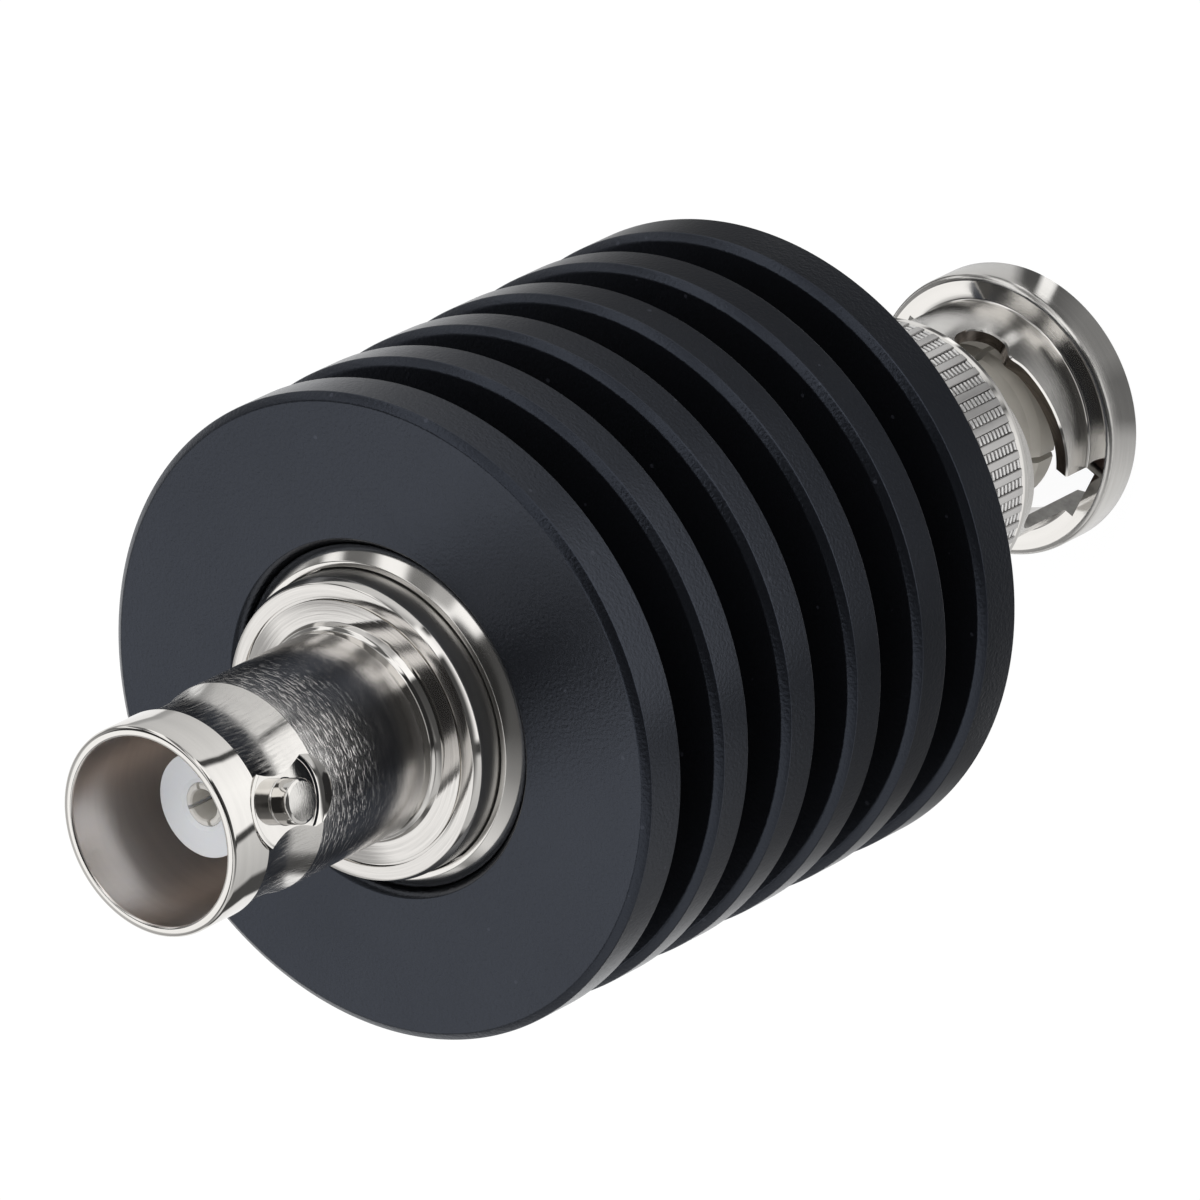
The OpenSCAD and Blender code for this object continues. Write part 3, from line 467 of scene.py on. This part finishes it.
# %% Sleeve
def turned_over(outline):
    """The same outline at the other end of the heat sink."""
    return [(r, SINK_BACK + SINK_FRONT - z, c) for r, z, c in outline]


sleeve_half = [
    (6.4, 46.35, 0), (7.10, 46.35, 0), (7.10, 47.95, 0.03), (7.36, 47.95, 0.03), (7.93, 47.30, 0.03),
    (7.98, 47.20, 0),
]
outline = sleeve_half + turned_over(sleeve_half[::-1])
sleeve = finish_piece("rim_sleeve", spun(outline, steps=256), [rim], "body", "housing")

# %% [markdown]
# ## The jack
#
# The outline gives the thread, the stepped flange with its fine ring groove, the neck, the
# barrel, the shallow waist, and the mouth. The waist is a shallow curve, so its points come from
# a parabola. The barrel has a few points that only shorten its faces, which then shade evenly.
# The two pockets round the lugs are milled, and their cutter is spun too and then laid along X:
# it leaves a flat floor with a hair-fine ring, a small fillet and a flared wall.

# %% Jack shell
BARREL_R, JACK_TOP, BORE_FLOOR = 4.825, 63.5, 55.0
WAIST_LOW, WAIST_TOP, WAIST_DEEP, WAIST_POINTS = 57.45, 61.19, 0.22, 15
waist = []
for i in range(WAIST_POINTS):
    t = i / (WAIST_POINTS - 1)
    depth = WAIST_DEEP * (1 - (2 * t - 1) ** 2)
    waist.append((BARREL_R - depth, WAIST_LOW + t * (WAIST_TOP - WAIST_LOW), 0))
flange_outline = [
    (6.36, 41.2, 0.1), (6.36, 46.37, 0), (7.02, 46.37, 0), (7.02, 49.17, 0.04), (6.85, 49.57, 0.04),
    (6.21, 49.57, 0.015), (6.21, 49.45, 0), (6.09, 49.45, 0), (6.09, 49.57, 0.015),
]
neck_outline = [
    (5.09, 49.57, 0.02), (4.97, 49.85, 0.04), (4.80, 49.95, 0.05), (4.80, 50.38, 0.02),
    (BARREL_R, 50.45, 0.02), (BARREL_R, 50.55, 0), (BARREL_R, 53.0, 0), (BARREL_R, 55.0, 0),
    (BARREL_R, 56.6, 0),
]
mouth_outline = [
    (BARREL_R, 62.2, 0), (BARREL_R, JACK_TOP, 0.2), (4.38, JACK_TOP, 0.05), (4.31, 63.4, 0.03),
    (4.07, 58.0, 0), (4.07, BORE_FLOOR, 0), (2.42, BORE_FLOOR, 0), (2.42, 53.0, 0), (3.3, 53.0, 0),
    (3.3, 41.2, 0.05),
]
jack_outline = flange_outline + neck_outline + waist + mouth_outline


def lying_on_x(shape, side, height):
    """Lays a shape that was spun about Z along X, at a height in millimetres."""
    turn = Matrix.Rotation(math.radians(90 * side), 4, "Y")
    lift = Matrix.Translation((0, 0, height * MM))
    bmesh.ops.transform(shape, matrix=lift @ turn, verts=shape.verts[:])
    return shape


LUG_HEIGHT, POCKET_FLOOR = 59.4, 4.44
pocket = [
    (0, POCKET_FLOOR, 0), (1.99, POCKET_FLOOR, 0), (2.02, POCKET_FLOOR, 0), (2.04, 4.442, 0),
    (2.06, POCKET_FLOOR, 0), (2.20, POCKET_FLOOR, 0), (2.24, POCKET_FLOOR, 0.03), (2.44, 4.55, 0.02),
    (2.67, 4.80, 0.02), (2.67, 6, 0), (0, 6, 0),
]
pockets = [in_slot(lying_on_x(spun(pocket, steps=96), side, LUG_HEIGHT), CUT) for side in (1, -1)]
shell = cut_from(spun(jack_outline, steps=256), pockets)


# %% Choose the finish of each face of the jack by where it lies
def paint(shape, finishes, choose):
    """Gives each face the finish that choose(radius, height, tilt up, tilt outwards, cut) names."""
    shape.normal_update()
    for face in shape.faces:
        middle = face.calc_center_median() / MM
        r = math.hypot(middle.x, middle.y)
        out = (face.normal.x * middle.x + face.normal.y * middle.y) / max(r, 0.001)
        face.material_index = finishes.index(choose(r, middle.z, face.normal.z, out, face.material_index))


JACK_FINISHES = [mirror, barrel, faced, satin, wiped, turned]


def jack_finish(r, z, up, out, cut):
    """The finish of a face of the jack. The limits fall between the middles of its faces."""
    if cut:
        return mirror
    # The bore takes the brighter nickel, which is painted light.
    if r < 4.37 and z < 63.45:
        return satin
    if z < 49.7 and up > 0.9 and r > 5:
        return faced
    if r > 4.7 and 50.5 < z < WAIST_LOW:
        return barrel
    if r > 6.97 and z < 49.3:
        return turned
    return wiped if WAIST_LOW < z < WAIST_TOP and r > 4.5 else mirror


paint(shell, JACK_FINISHES, jack_finish)
jack = finish_piece("jack_shell", shell, JACK_FINISHES, "body", "jack_body")

# %% [markdown]
# ### The lugs
#
# A lug is a short pin with a slightly domed, brushed end. The dome is a slice of a large ball.

# %% Lugs
LUG_END, DOME_R, DOME_POINTS = 5.5, 6.0, 8
lug_outline = [(0, 4.2, 0), (1.06, 4.2, 0), (1.06, 4.46, 0.01), (1.02, 4.50, 0.02), (1.02, 5.36, 0.05)]
for i in range(DOME_POINTS):
    r = (DOME_POINTS - 1 - i) / DOME_POINTS
    lug_outline.append((r, LUG_END - DOME_R + math.sqrt(DOME_R ** 2 - r ** 2), 0))
for side, label in ((1, "a"), (-1, "b")):
    shape = lying_on_x(spun(lug_outline, steps=64, segments=4), side, LUG_HEIGHT)
    shape.normal_update()
    for face in shape.faces:
        face.material_index = 1 if abs(face.normal.x) > 0.97 else 0
    lug = finish_piece("lug_" + label, shape, [mirror, brushed], "body")

# %% [markdown]
# ## The plug body
#
# The same flange as the jack's, turned over, with a plain neck that the nut turns on.

# %% Plug body
plug_outline = turned_over(flange_outline) + [
    (4.95, 18.88, 0.02), (4.80, 18.83, 0.02), (4.75, 18.68, 0.02), (4.75, 14.04, 0.05),
    (4.10, 14.04, 0.03), (4.10, 11.72, 0.03), (3.72, 11.72, 0), (3.72, 13.74, 0), (3.3, 13.74, 0),
    (3.3, 27.25, 0.05),
]
body = spun(plug_outline)
paint(body, [mirror, faced], lambda r, z, up, out, cut: faced if up < -0.9 and r > 5 else mirror)
plug = finish_piece("plug_shell", body, [mirror, faced], "body", "plug_body")

# %% [markdown]
# ## The wave spring
#
# A thin ring pressed into three waves, between the plug's shoulder and the flat washer. It is spun
# flat and then lifted by a cosine of the turn. It flattens as the nut is pulled along, and here it
# is a piece of its own, with its own mesh.

# %% Wave spring
SPRING_FOOT, SPRING_HEIGHT, SPRING_THICK, SLIDE_TRAVEL = 11.72, 1.2, 0.22, 0.8
SPRING_IN, SPRING_OUT, SPRING_WAVES = 4.25, 4.85, 3
spring_top = SPRING_FOOT + SPRING_THICK
shape = spun([(SPRING_IN, SPRING_FOOT, 0), (SPRING_OUT, SPRING_FOOT, 0), (SPRING_OUT, spring_top, 0),
              (SPRING_IN, spring_top, 0)], steps=96)
for vert in shape.verts:
    wave = 1 - math.cos(SPRING_WAVES * math.atan2(vert.co.y, vert.co.x))
    vert.co.z += (SPRING_HEIGHT - SPRING_THICK) / 2 * wave * MM
spring_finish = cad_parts["wave_washer"].data.materials[0]
spring = finish_piece("wave_spring", shape, [spring_finish], "body", "wave_washer")
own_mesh(spring)

# %% [markdown]
# ## The coupling nut
#
# The nut is turned, slotted with two cams, and knurled. Each cam cutter is one small face that is
# extruded in short steps and moved along the cam's path: up from the entry, over the crest, and
# down into the round lock. The face is wider outside than inside, which chamfers the slot's outer
# edges. The entry groove opens the sleeve, but it goes only part of the way through the flange.

# %% Path of the cam
# Turns are in degrees, and all else is in millimetres. A turn of 0 is the lock.
NUT_TURN, CAM_TURN, CREST_TURN = -42.1, 93.8, 12.7
CAM_WIDTH, CAM_FLOOR, CREST_HEIGHT, CREST_BUMP, CAM_RISE = 2.5, 4.60, 0.47, 0.16, 0.0184
SLEEVE_R, NUT_BORE_R = 5.6, 5.0
# The turn that half the slot's width takes up in the middle of the sleeve's wall
CAM_END = CAM_WIDTH / 2 / (2 * SLEEVE_R + 2 * NUT_BORE_R) * 720 / math.pi


def ease(t):
    t = min(1, max(0, t))
    return t * t * (3 - 2 * t)


def cam_ramp(turn):
    """The height of the slot's front edge on the straight part of the cam."""
    return CAM_FLOOR + CREST_HEIGHT - CREST_BUMP - CAM_RISE * (turn - CREST_TURN)


def cam_edges(turn):
    """The heights of the slot's two edges at a turn from the lock."""
    climb = cam_ramp(turn)
    crest = CREST_BUMP * math.exp(-(3 * (turn - CREST_TURN) / CREST_TURN) ** 2)
    round_in = 0 if turn >= 0 else CAM_WIDTH / 2 * (1 - math.sqrt(1 - (turn / CAM_END) ** 2))
    w = ease((turn / CREST_TURN - 0.25) / 0.75)
    front = CAM_FLOOR * (1 - w) + (climb + crest) * w + round_in
    w = ease(turn / CREST_TURN / 1.5)
    back = CAM_FLOOR * (1 - w) + climb * w + CAM_WIDTH - round_in
    return front, back


# %% Cutters of the nut
CUTTER_IN, CHAMFER_R, CUTTER_OUT = 4, 5.55, 5.8
FRONT_FLARE, BACK_FLARE = 0.56, 0.25
ENTRY_HALF, ENTRY_DEPTH = 1.35, 1.95
END_STATIONS, CAM_STATIONS = 8, 60


def cam_cutter(side):
    turns = [-CAM_END * math.cos(math.radians(6 + 84 * i / END_STATIONS)) for i in range(END_STATIONS)]
    turns += [CAM_TURN * i / CAM_STATIONS for i in range(CAM_STATIONS + 1)]

    def station(turn):
        front, back = cam_edges(turn)
        angle = math.radians(NUT_TURN + side + CAM_TURN - turn)
        loop = [(CUTTER_IN, front), (CHAMFER_R, front), (CUTTER_OUT, front - FRONT_FLARE),
                (CUTTER_OUT, back + BACK_FLARE), (CHAMFER_R, back), (CUTTER_IN, back)]
        return [Vector((r * math.cos(angle), r * math.sin(angle), z)) * MM for r, z in loop]

    shape = bmesh.new()
    shape.faces.new([shape.verts.new(p) for p in station(turns[0])])
    leading = shape.faces[:]
    for before, turn in zip(turns, turns[1:]):
        grown = bmesh.ops.extrude_face_region(shape, geom=leading)
        if before != turns[0]:
            bmesh.ops.delete(shape, geom=leading, context="FACES_ONLY")
        leading = [g for g in grown["geom"] if isinstance(g, bmesh.types.BMFace)]
        old, new = station(before), station(turn)
        for corner in leading[0].verts:
            nearest = min(range(len(old)), key=lambda k: (corner.co - old[k]).length)
            corner.co = new[nearest]
    bmesh.ops.recalc_face_normals(shape, faces=shape.faces[:])
    return in_slot(shape, CUT)


def entry_cutter(side):
    """A lengthwise groove with a round end, not deep enough to reach the flange's edge."""
    shape = bmesh.new()
    top = cam_ramp(CAM_TURN) + CAM_WIDTH / 2
    bmesh.ops.create_circle(shape, cap_ends=True, radius=ENTRY_HALF * MM, segments=48)
    low = [v for v in shape.verts if v.co.y < -1e-7]
    bmesh.ops.transform(shape, matrix=Matrix.Translation((0, -(top + 1) * MM, 0)), verts=low)
    grown = bmesh.ops.extrude_face_region(shape, geom=shape.faces[:])
    raised = [g for g in grown["geom"] if isinstance(g, bmesh.types.BMVert)]
    bmesh.ops.translate(shape, vec=(0, 0, ENTRY_DEPTH * MM), verts=raised)
    stand = Matrix.Rotation(math.radians(90), 4, "Z") @ Matrix.Rotation(math.radians(90), 4, "X")
    push = Matrix.Translation((CUTTER_IN * MM, 0, top * MM))
    swing = Matrix.Rotation(math.radians(NUT_TURN + side), 4, "Z")
    bmesh.ops.transform(shape, matrix=swing @ push @ stand, verts=shape.verts[:])
    bmesh.ops.recalc_face_normals(shape, faces=shape.faces[:])
    return in_slot(shape, SECOND_CUT)


# %% Nut
nut_outline = [
    (5.3, 0, 0.03), (6.83, 0, 0.12), (6.83, 2.1, 0.3), (SLEEVE_R, 2.1, 0.1), (SLEEVE_R, 8.15, 0.04),
    (6.5, 8.15, 0.03), (6.6, 8.25, 0.03), (6.6, 8.75, 0.03), (6.40, 8.75, 0), (6.40, 14.27, 0),
    (6.6, 14.27, 0.03), (6.6, 14.77, 0.03), (6.5, 14.87, 0.03), (4.85, 14.87, 0.05),
    (4.85, 14.02, 0), (4.18, 14.02, 0), (4.18, 13.22, 0), (NUT_BORE_R, 13.22, 0),
    (NUT_BORE_R, 0.3, 0.03),
]
cutters = [cam_cutter(0), cam_cutter(180), entry_cutter(0), entry_cutter(180)]
nut_shape = cut_from(spun(nut_outline, steps=256), cutters)
NUT_FINISHES = [mirror, brushed, faced, cut_metal, milled]


def nut_finish(r, z, up, out, cut):
    if cut == SECOND_CUT:
        return milled
    if cut == CUT:
        return mirror if out > 0.6 else cut_metal
    if (r > 6.6 and z < 2.2) or (r > 5.5 and 2.2 < z < 8.1):
        return brushed
    if up > 0.9 and 1.9 < z < 2.2:
        return mirror
    return faced if r < 5.1 else mirror


paint(nut_shape, NUT_FINISHES, nut_finish)
nut = finish_piece("coupling_nut_shell", nut_shape, NUT_FINISHES, "nut", "coupling_nut")

# %% [markdown]
# ## The knurl
#
# The knurl has 48 plain ribs, and in each valley between them a ladder of short teeth where the
# tool also ran round the nut. A rib and one ladder are modelled once, as bevelled blocks, and a
# spin with duplicates sets the other 47 round the axis.

# %% Ribs and ladders
RIBS, TEETH, TOOTH_PITCH, FIRST_TOOTH = 48, 20, 0.277, 8.88


def block(shape, center, size, edge):
    """Adds a block whose outer edges are broken. Sizes are in millimetres."""
    made = bmesh.ops.create_cube(shape, size=1.0)
    verts = made["verts"]
    bmesh.ops.scale(shape, vec=[s * MM for s in size], verts=verts)
    bmesh.ops.translate(shape, vec=[c * MM for c in center], verts=verts)
    edges = list({e for v in verts for e in v.link_edges if all(w.co.x > center[0] * MM for w in e.verts)})
    bmesh.ops.bevel(shape, geom=edges, offset=edge * MM, offset_type="OFFSET", segments=2, profile=0.5,
                    affect="EDGES", clamp_overlap=True, material=-1)


knurl = bmesh.new()
block(knurl, (6.53, 0, 11.51), (0.34, 0.40, 5.52), 0.05)
pitch = math.radians(360 / RIBS)
valley = bmesh.new()
for i in range(TEETH):
    block(valley, (6.50, 0, FIRST_TOOTH + TOOTH_PITCH * i), (0.30, 0.42, 0.19), 0.035)
half_pitch = Matrix.Rotation(pitch / 2, 3, "Z")
bmesh.ops.rotate(valley, cent=(0, 0, 0), matrix=half_pitch, verts=valley.verts[:])
# The ribs take the darker nickel, which is painted shade, and the teeth take the lighter one, which is a
# painted highlight.
for name, shape, finish in (("knurl_ribs", knurl, shaded_rib_nickel), ("knurl_ladders", valley, lit_tooth_nickel)):
    bmesh.ops.spin(shape, geom=shape.verts[:] + shape.edges[:] + shape.faces[:], cent=(0, 0, 0),
                   axis=(0, 0, 1), angle=pitch * RIBS, steps=RIBS, use_duplicate=True)
    bmesh.ops.remove_doubles(shape, verts=shape.verts[:], dist=1e-7)
    piece = finish_piece(name, shape, [finish], "nut")

# %% [markdown]
# ## Camera
#
# The camera was fitted to the circles of the fins and the jack in the photograph. It is a long
# lens, about 0.6 m away, that looks down on the jack's end and is rolled, so that the part lies
# aslant in the picture. East is the level direction from the part towards the camera, and the
# light is laid out from it too. The shares in its three directions, the eye's offsets in
# millimetres and the focal length are the fit's own numbers.

# %% Camera
SLANT = math.radians(18.6)
east = Vector((math.cos(SLANT), math.sin(SLANT), 0))
north = Vector((math.sin(SLANT), -math.cos(SLANT), 0))
up = Vector((0, 0, 1))
right = (0.65510 * east + 0.44269 * north - 0.61226 * up).normalized()
down = (-0.32343 * east + 0.89667 * north + 0.30228 * up).normalized()
ahead = (-0.68281 * east - 0.73059 * up).normalized()
front_centre = Vector((0, 0, 0.0477))
eye = front_centre - (-9.780 * right + 5.235 * down + 597.69 * ahead) * MM
lens = bpy.data.cameras.new("camera")
lens.sensor_width, lens.lens = 36, 408.14
lens.clip_start, lens.clip_end = 0.05, 10
camera = put_in_scene("camera", lens)
camera.matrix_world = Matrix((
    (right.x, -down.x, -ahead.x, eye.x), (right.y, -down.y, -ahead.y, eye.y),
    (right.z, -down.z, -ahead.z, eye.z), (0, 0, 0, 1)))
bpy.context.scene.camera = camera

# %% [markdown]
# ## Light
#
# Polished metal looks like what stands round it. Bare white would leave it flat, so glossy rays
# see a studio instead: rings of bright cards with dark gaps between them, in three levels. All
# other rays see plain white or pale grey, which keeps the background and the shading soft.

# %% World
# A card's place is a turn about Z from east, in degrees. The level goes by the ray's height, the
# Z part of its direction: below the horizon, above it, and high up.
GLOSSY_GAIN = 0.25


def along_axis(tree, vector, axis):
    return add(tree, "ShaderNodeVectorMath", {0: vector, 1: axis}, operation="DOT_PRODUCT").outputs["Value"]


def turn_share(tree, vector):
    """The turn of a vector about Z, as a share of the full circle. East is at one half."""
    turn = maths(tree, "ARCTAN2", along_axis(tree, vector, north), along_axis(tree, vector, east))
    return maths(tree, "ADD", maths(tree, "DIVIDE", turn, 2 * math.pi), 0.5)


def panels(tree, share, stops):
    """A ring of bright and dark panels: (turn in degrees from -180 to 180, brightness) stops."""
    ramp = add(tree, "ShaderNodeValToRGB", {0: share})
    points = ramp.color_ramp.elements
    for i, (degrees, level) in enumerate(stops):
        point = points[i] if i < len(points) else points.new(1.0)
        point.position = (degrees + 180) / 360
        point.color = (level, level, level, 1)
    return ramp.outputs[0]


world = bpy.data.worlds.new("studio")
bpy.context.scene.world = world
world.use_nodes = True
tree = world.node_tree
back = tree.nodes["Background"]
gaze = add(tree, "ShaderNodeTexCoord").outputs["Generated"]
share = turn_share(tree, gaze)
to_up = along_axis(tree, gaze, up)
low_ring = panels(tree, share, [
    (-180, 0.80), (-134, 0.80), (-130, 0.30), (-122, 0.35), (-116, 0.50), (-60, 0.62), (-40, 0.68),
    (-38, 0.05), (-33, 0.05), (-30, 0.90), (0, 1.0), (38.5, 0.95), (41.5, 0.05), (47, 0.05),
    (50, 0.60), (96, 0.46), (102, 0.06), (126, 0.06), (131, 0.80), (180, 0.80),
])
mid_ring = panels(tree, share, [
    (-180, 0.5), (-150, 0.3), (-128, 0.15), (-123, 0.15), (-121, 0.95), (-114, 0.95), (-111, 0.12),
    (-96, 0.15), (-91, 1.0), (-77, 1.0), (-74, 0.15), (-60, 0.2), (-56, 0.4), (-44, 0.4),
    (-40, 1.05), (-20, 1.05), (-16, 0.05), (45, 0.08), (71, 0.22), (96, 0.5), (112, 0.7),
    (124, 0.3), (140, 0.25), (180, 0.5),
])
high_ring = panels(tree, share, [
    (-180, 0.95), (-166, 0.95), (-160, 0.03), (-114, 0.03), (-109, 0.95), (-79, 0.9), (-75, 0.10),
    (-62, 0.10), (-58, 1.0), (-40, 1.0), (-36, 0.02), (60, 0.02), (68, 0.6), (112, 0.8),
    (118, 0.1), (142, 0.1), (148, 0.95), (180, 0.95),
])
rise = remap(tree, to_up, -0.02, 0.14, interpolation_type="SMOOTHSTEP")
above = remap(tree, to_up, 0.62, 0.66)
ring = mix(tree, above, mix(tree, rise, low_ring, mid_ring), high_ring)
ray = add(tree, "ShaderNodeLightPath").outputs
shown = mix(tree, ray["Is Glossy Ray"], (0.88, 0.88, 0.89, 1), ring)
clear = maths(tree, "MAXIMUM", ray["Is Camera Ray"], ray["Is Transmission Ray"])
tree.links.new(mix(tree, clear, shown, (1, 1, 1, 1)), back.inputs["Color"])
strength = maths(tree, "ADD", 1.0, maths(tree, "MULTIPLY", ray["Is Glossy Ray"], GLOSSY_GAIN))
tree.links.new(strength, back.inputs["Strength"])

# %% A mat that only shows in the metal
# The camera looks down, and an upright wall sends its rays on downwards, so the barrels mirror
# the table and not the sky. The mat gives them cards there too. It lies just under the floor,
# which glossy rays pass through. Its zones, by distance from the axis in millimetres, are what
# the nut's flange, its sleeve, its knurl, the fins and the jack's barrel mirror, one after the
# other.
MAT_RADIUS, MAT_DROP = 0.061, 0.0001
shape = bmesh.new()
bmesh.ops.create_circle(shape, cap_ends=True, radius=MAT_RADIUS, segments=96)
bmesh.ops.translate(shape, vec=(0, 0, -MAT_DROP), verts=shape.verts[:])
mat = put_in_scene("mat", mesh_from("mat", shape))
mat.visible_camera = mat.visible_diffuse = mat.visible_transmission = mat.visible_shadow = False
paper, tree, _ = new_material("mat", (0.3, 0.3, 0.3), 0.9)
spot = object_place(tree)
share = turn_share(tree, spot)
distance = add(tree, "ShaderNodeVectorMath", {0: spot}, operation="LENGTH").outputs["Value"]
far = maths(tree, "MULTIPLY", distance, 1000.0)
flange_zone = panels(tree, share, [
    (-180, 0.7), (-90, 0.75), (-60, 0.7), (-53, 0.1), (-46, 0.1), (-44, 1.3), (-38.5, 1.3),
    (-36.5, 0.14), (-20, 0.26), (0, 0.28), (10, 0.18), (28, 0.2), (36, 0.5), (56, 0.75),
    (74, 0.85), (180, 0.75),
])
sleeve_zone = panels(tree, share, [
    (-180, 0.10), (-98, 0.10), (-93, 0.9), (-78, 0.9), (-73, 0.12), (-61, 0.12), (-59, 1.3),
    (-53, 1.3), (-49, 0.07), (-28, 0.12), (-14, 0.5), (0, 0.65), (60, 0.6), (180, 0.65),
])
knurl_zone = panels(tree, share, [
    (-180, 0.3), (-112, 0.15), (-92, 0.15), (-84, 0.9), (-30, 1.0), (-22, 0.7), (-14, 0.12),
    (-8, 0.75), (0, 0.12), (6, 0.8), (20, 1.05), (90, 1.1), (105, 0.3), (125, 0.5), (180, 0.5),
])
fin_zone = panels(tree, share, [
    (-180, 1.5), (-140, 1.4), (-122, 0.5), (-105, 0.16), (-60, 0.12), (0, 0.16), (60, 0.12),
    (105, 0.16), (122, 0.5), (140, 1.4), (180, 1.5),
])
jack_zone = panels(tree, share, [
    (-180, 1.5), (-140, 1.4), (-122, 0.8), (-105, 0.5), (-36, 0.5), (-28, 0.75), (38.5, 0.85),
    (41.5, 0.05), (47, 0.05), (50, 0.5), (105, 0.45), (122, 0.8), (140, 1.4), (180, 1.5),
])
zones = flange_zone
for zone, start, end in ((sleeve_zone, 9.0, 10.0), (knurl_zone, 13.5, 14.5), (fin_zone, 22.0, 28.0),
                         (jack_zone, 44.0, 60.0)):
    zones = mix(tree, remap(tree, far, start, end), zones, zone)
glow = add(tree, "ShaderNodeEmission", {"Color": zones, "Strength": 1.0})
tree.links.new(glow.outputs[0], tree.nodes["Material Output"].inputs["Surface"])
mat.data.materials.append(paper)

# %% Floor
# A pale sheet that glows a little for the rays that see it directly, so that it is as white as
# the world behind it. Glossy rays miss it and see the mat and the low ring instead.
shape = bmesh.new()
bmesh.ops.create_grid(shape, x_segments=1, y_segments=1, size=3.0)
floor = put_in_scene("floor", mesh_from("floor", shape))
paper, tree, shader = new_material("white floor", (0.85, 0.85, 0.85), 0.9)
glow = add(tree, "ShaderNodeEmission", {"Color": (1, 1, 1, 1), "Strength": 1.06})
ray = add(tree, "ShaderNodeLightPath").outputs
seen = maths(tree, "MAXIMUM", ray["Is Camera Ray"], ray["Is Transmission Ray"])
share = maths(tree, "MULTIPLY", seen, 0.9)
mixed = add(tree, "ShaderNodeMixShader", {0: share, 1: shader.outputs[0], 2: glow.outputs[0]})
tree.links.new(mixed.outputs[0], tree.nodes["Material Output"].inputs["Surface"])
floor.data.materials.append(paper)
floor.visible_glossy = False

# %% Key lamp
# A square soft box up and to the left, on the camera's side of the part.
key = bpy.data.lights.new("key", "AREA")
key.shape, key.size, key.energy = "SQUARE", 0.4, 2.0
lamp = put_in_scene("key", key)
spot = front_centre - 0.3 * right - 0.5 * down - 0.5 * ahead
facing = (spot - front_centre).to_track_quat("Z", "Y").to_matrix().to_4x4()
lamp.matrix_world = Matrix.Translation(spot) @ facing
lamp.visible_glossy = False

# %% Colour view
bpy.context.scene.view_settings.view_transform = "Standard"
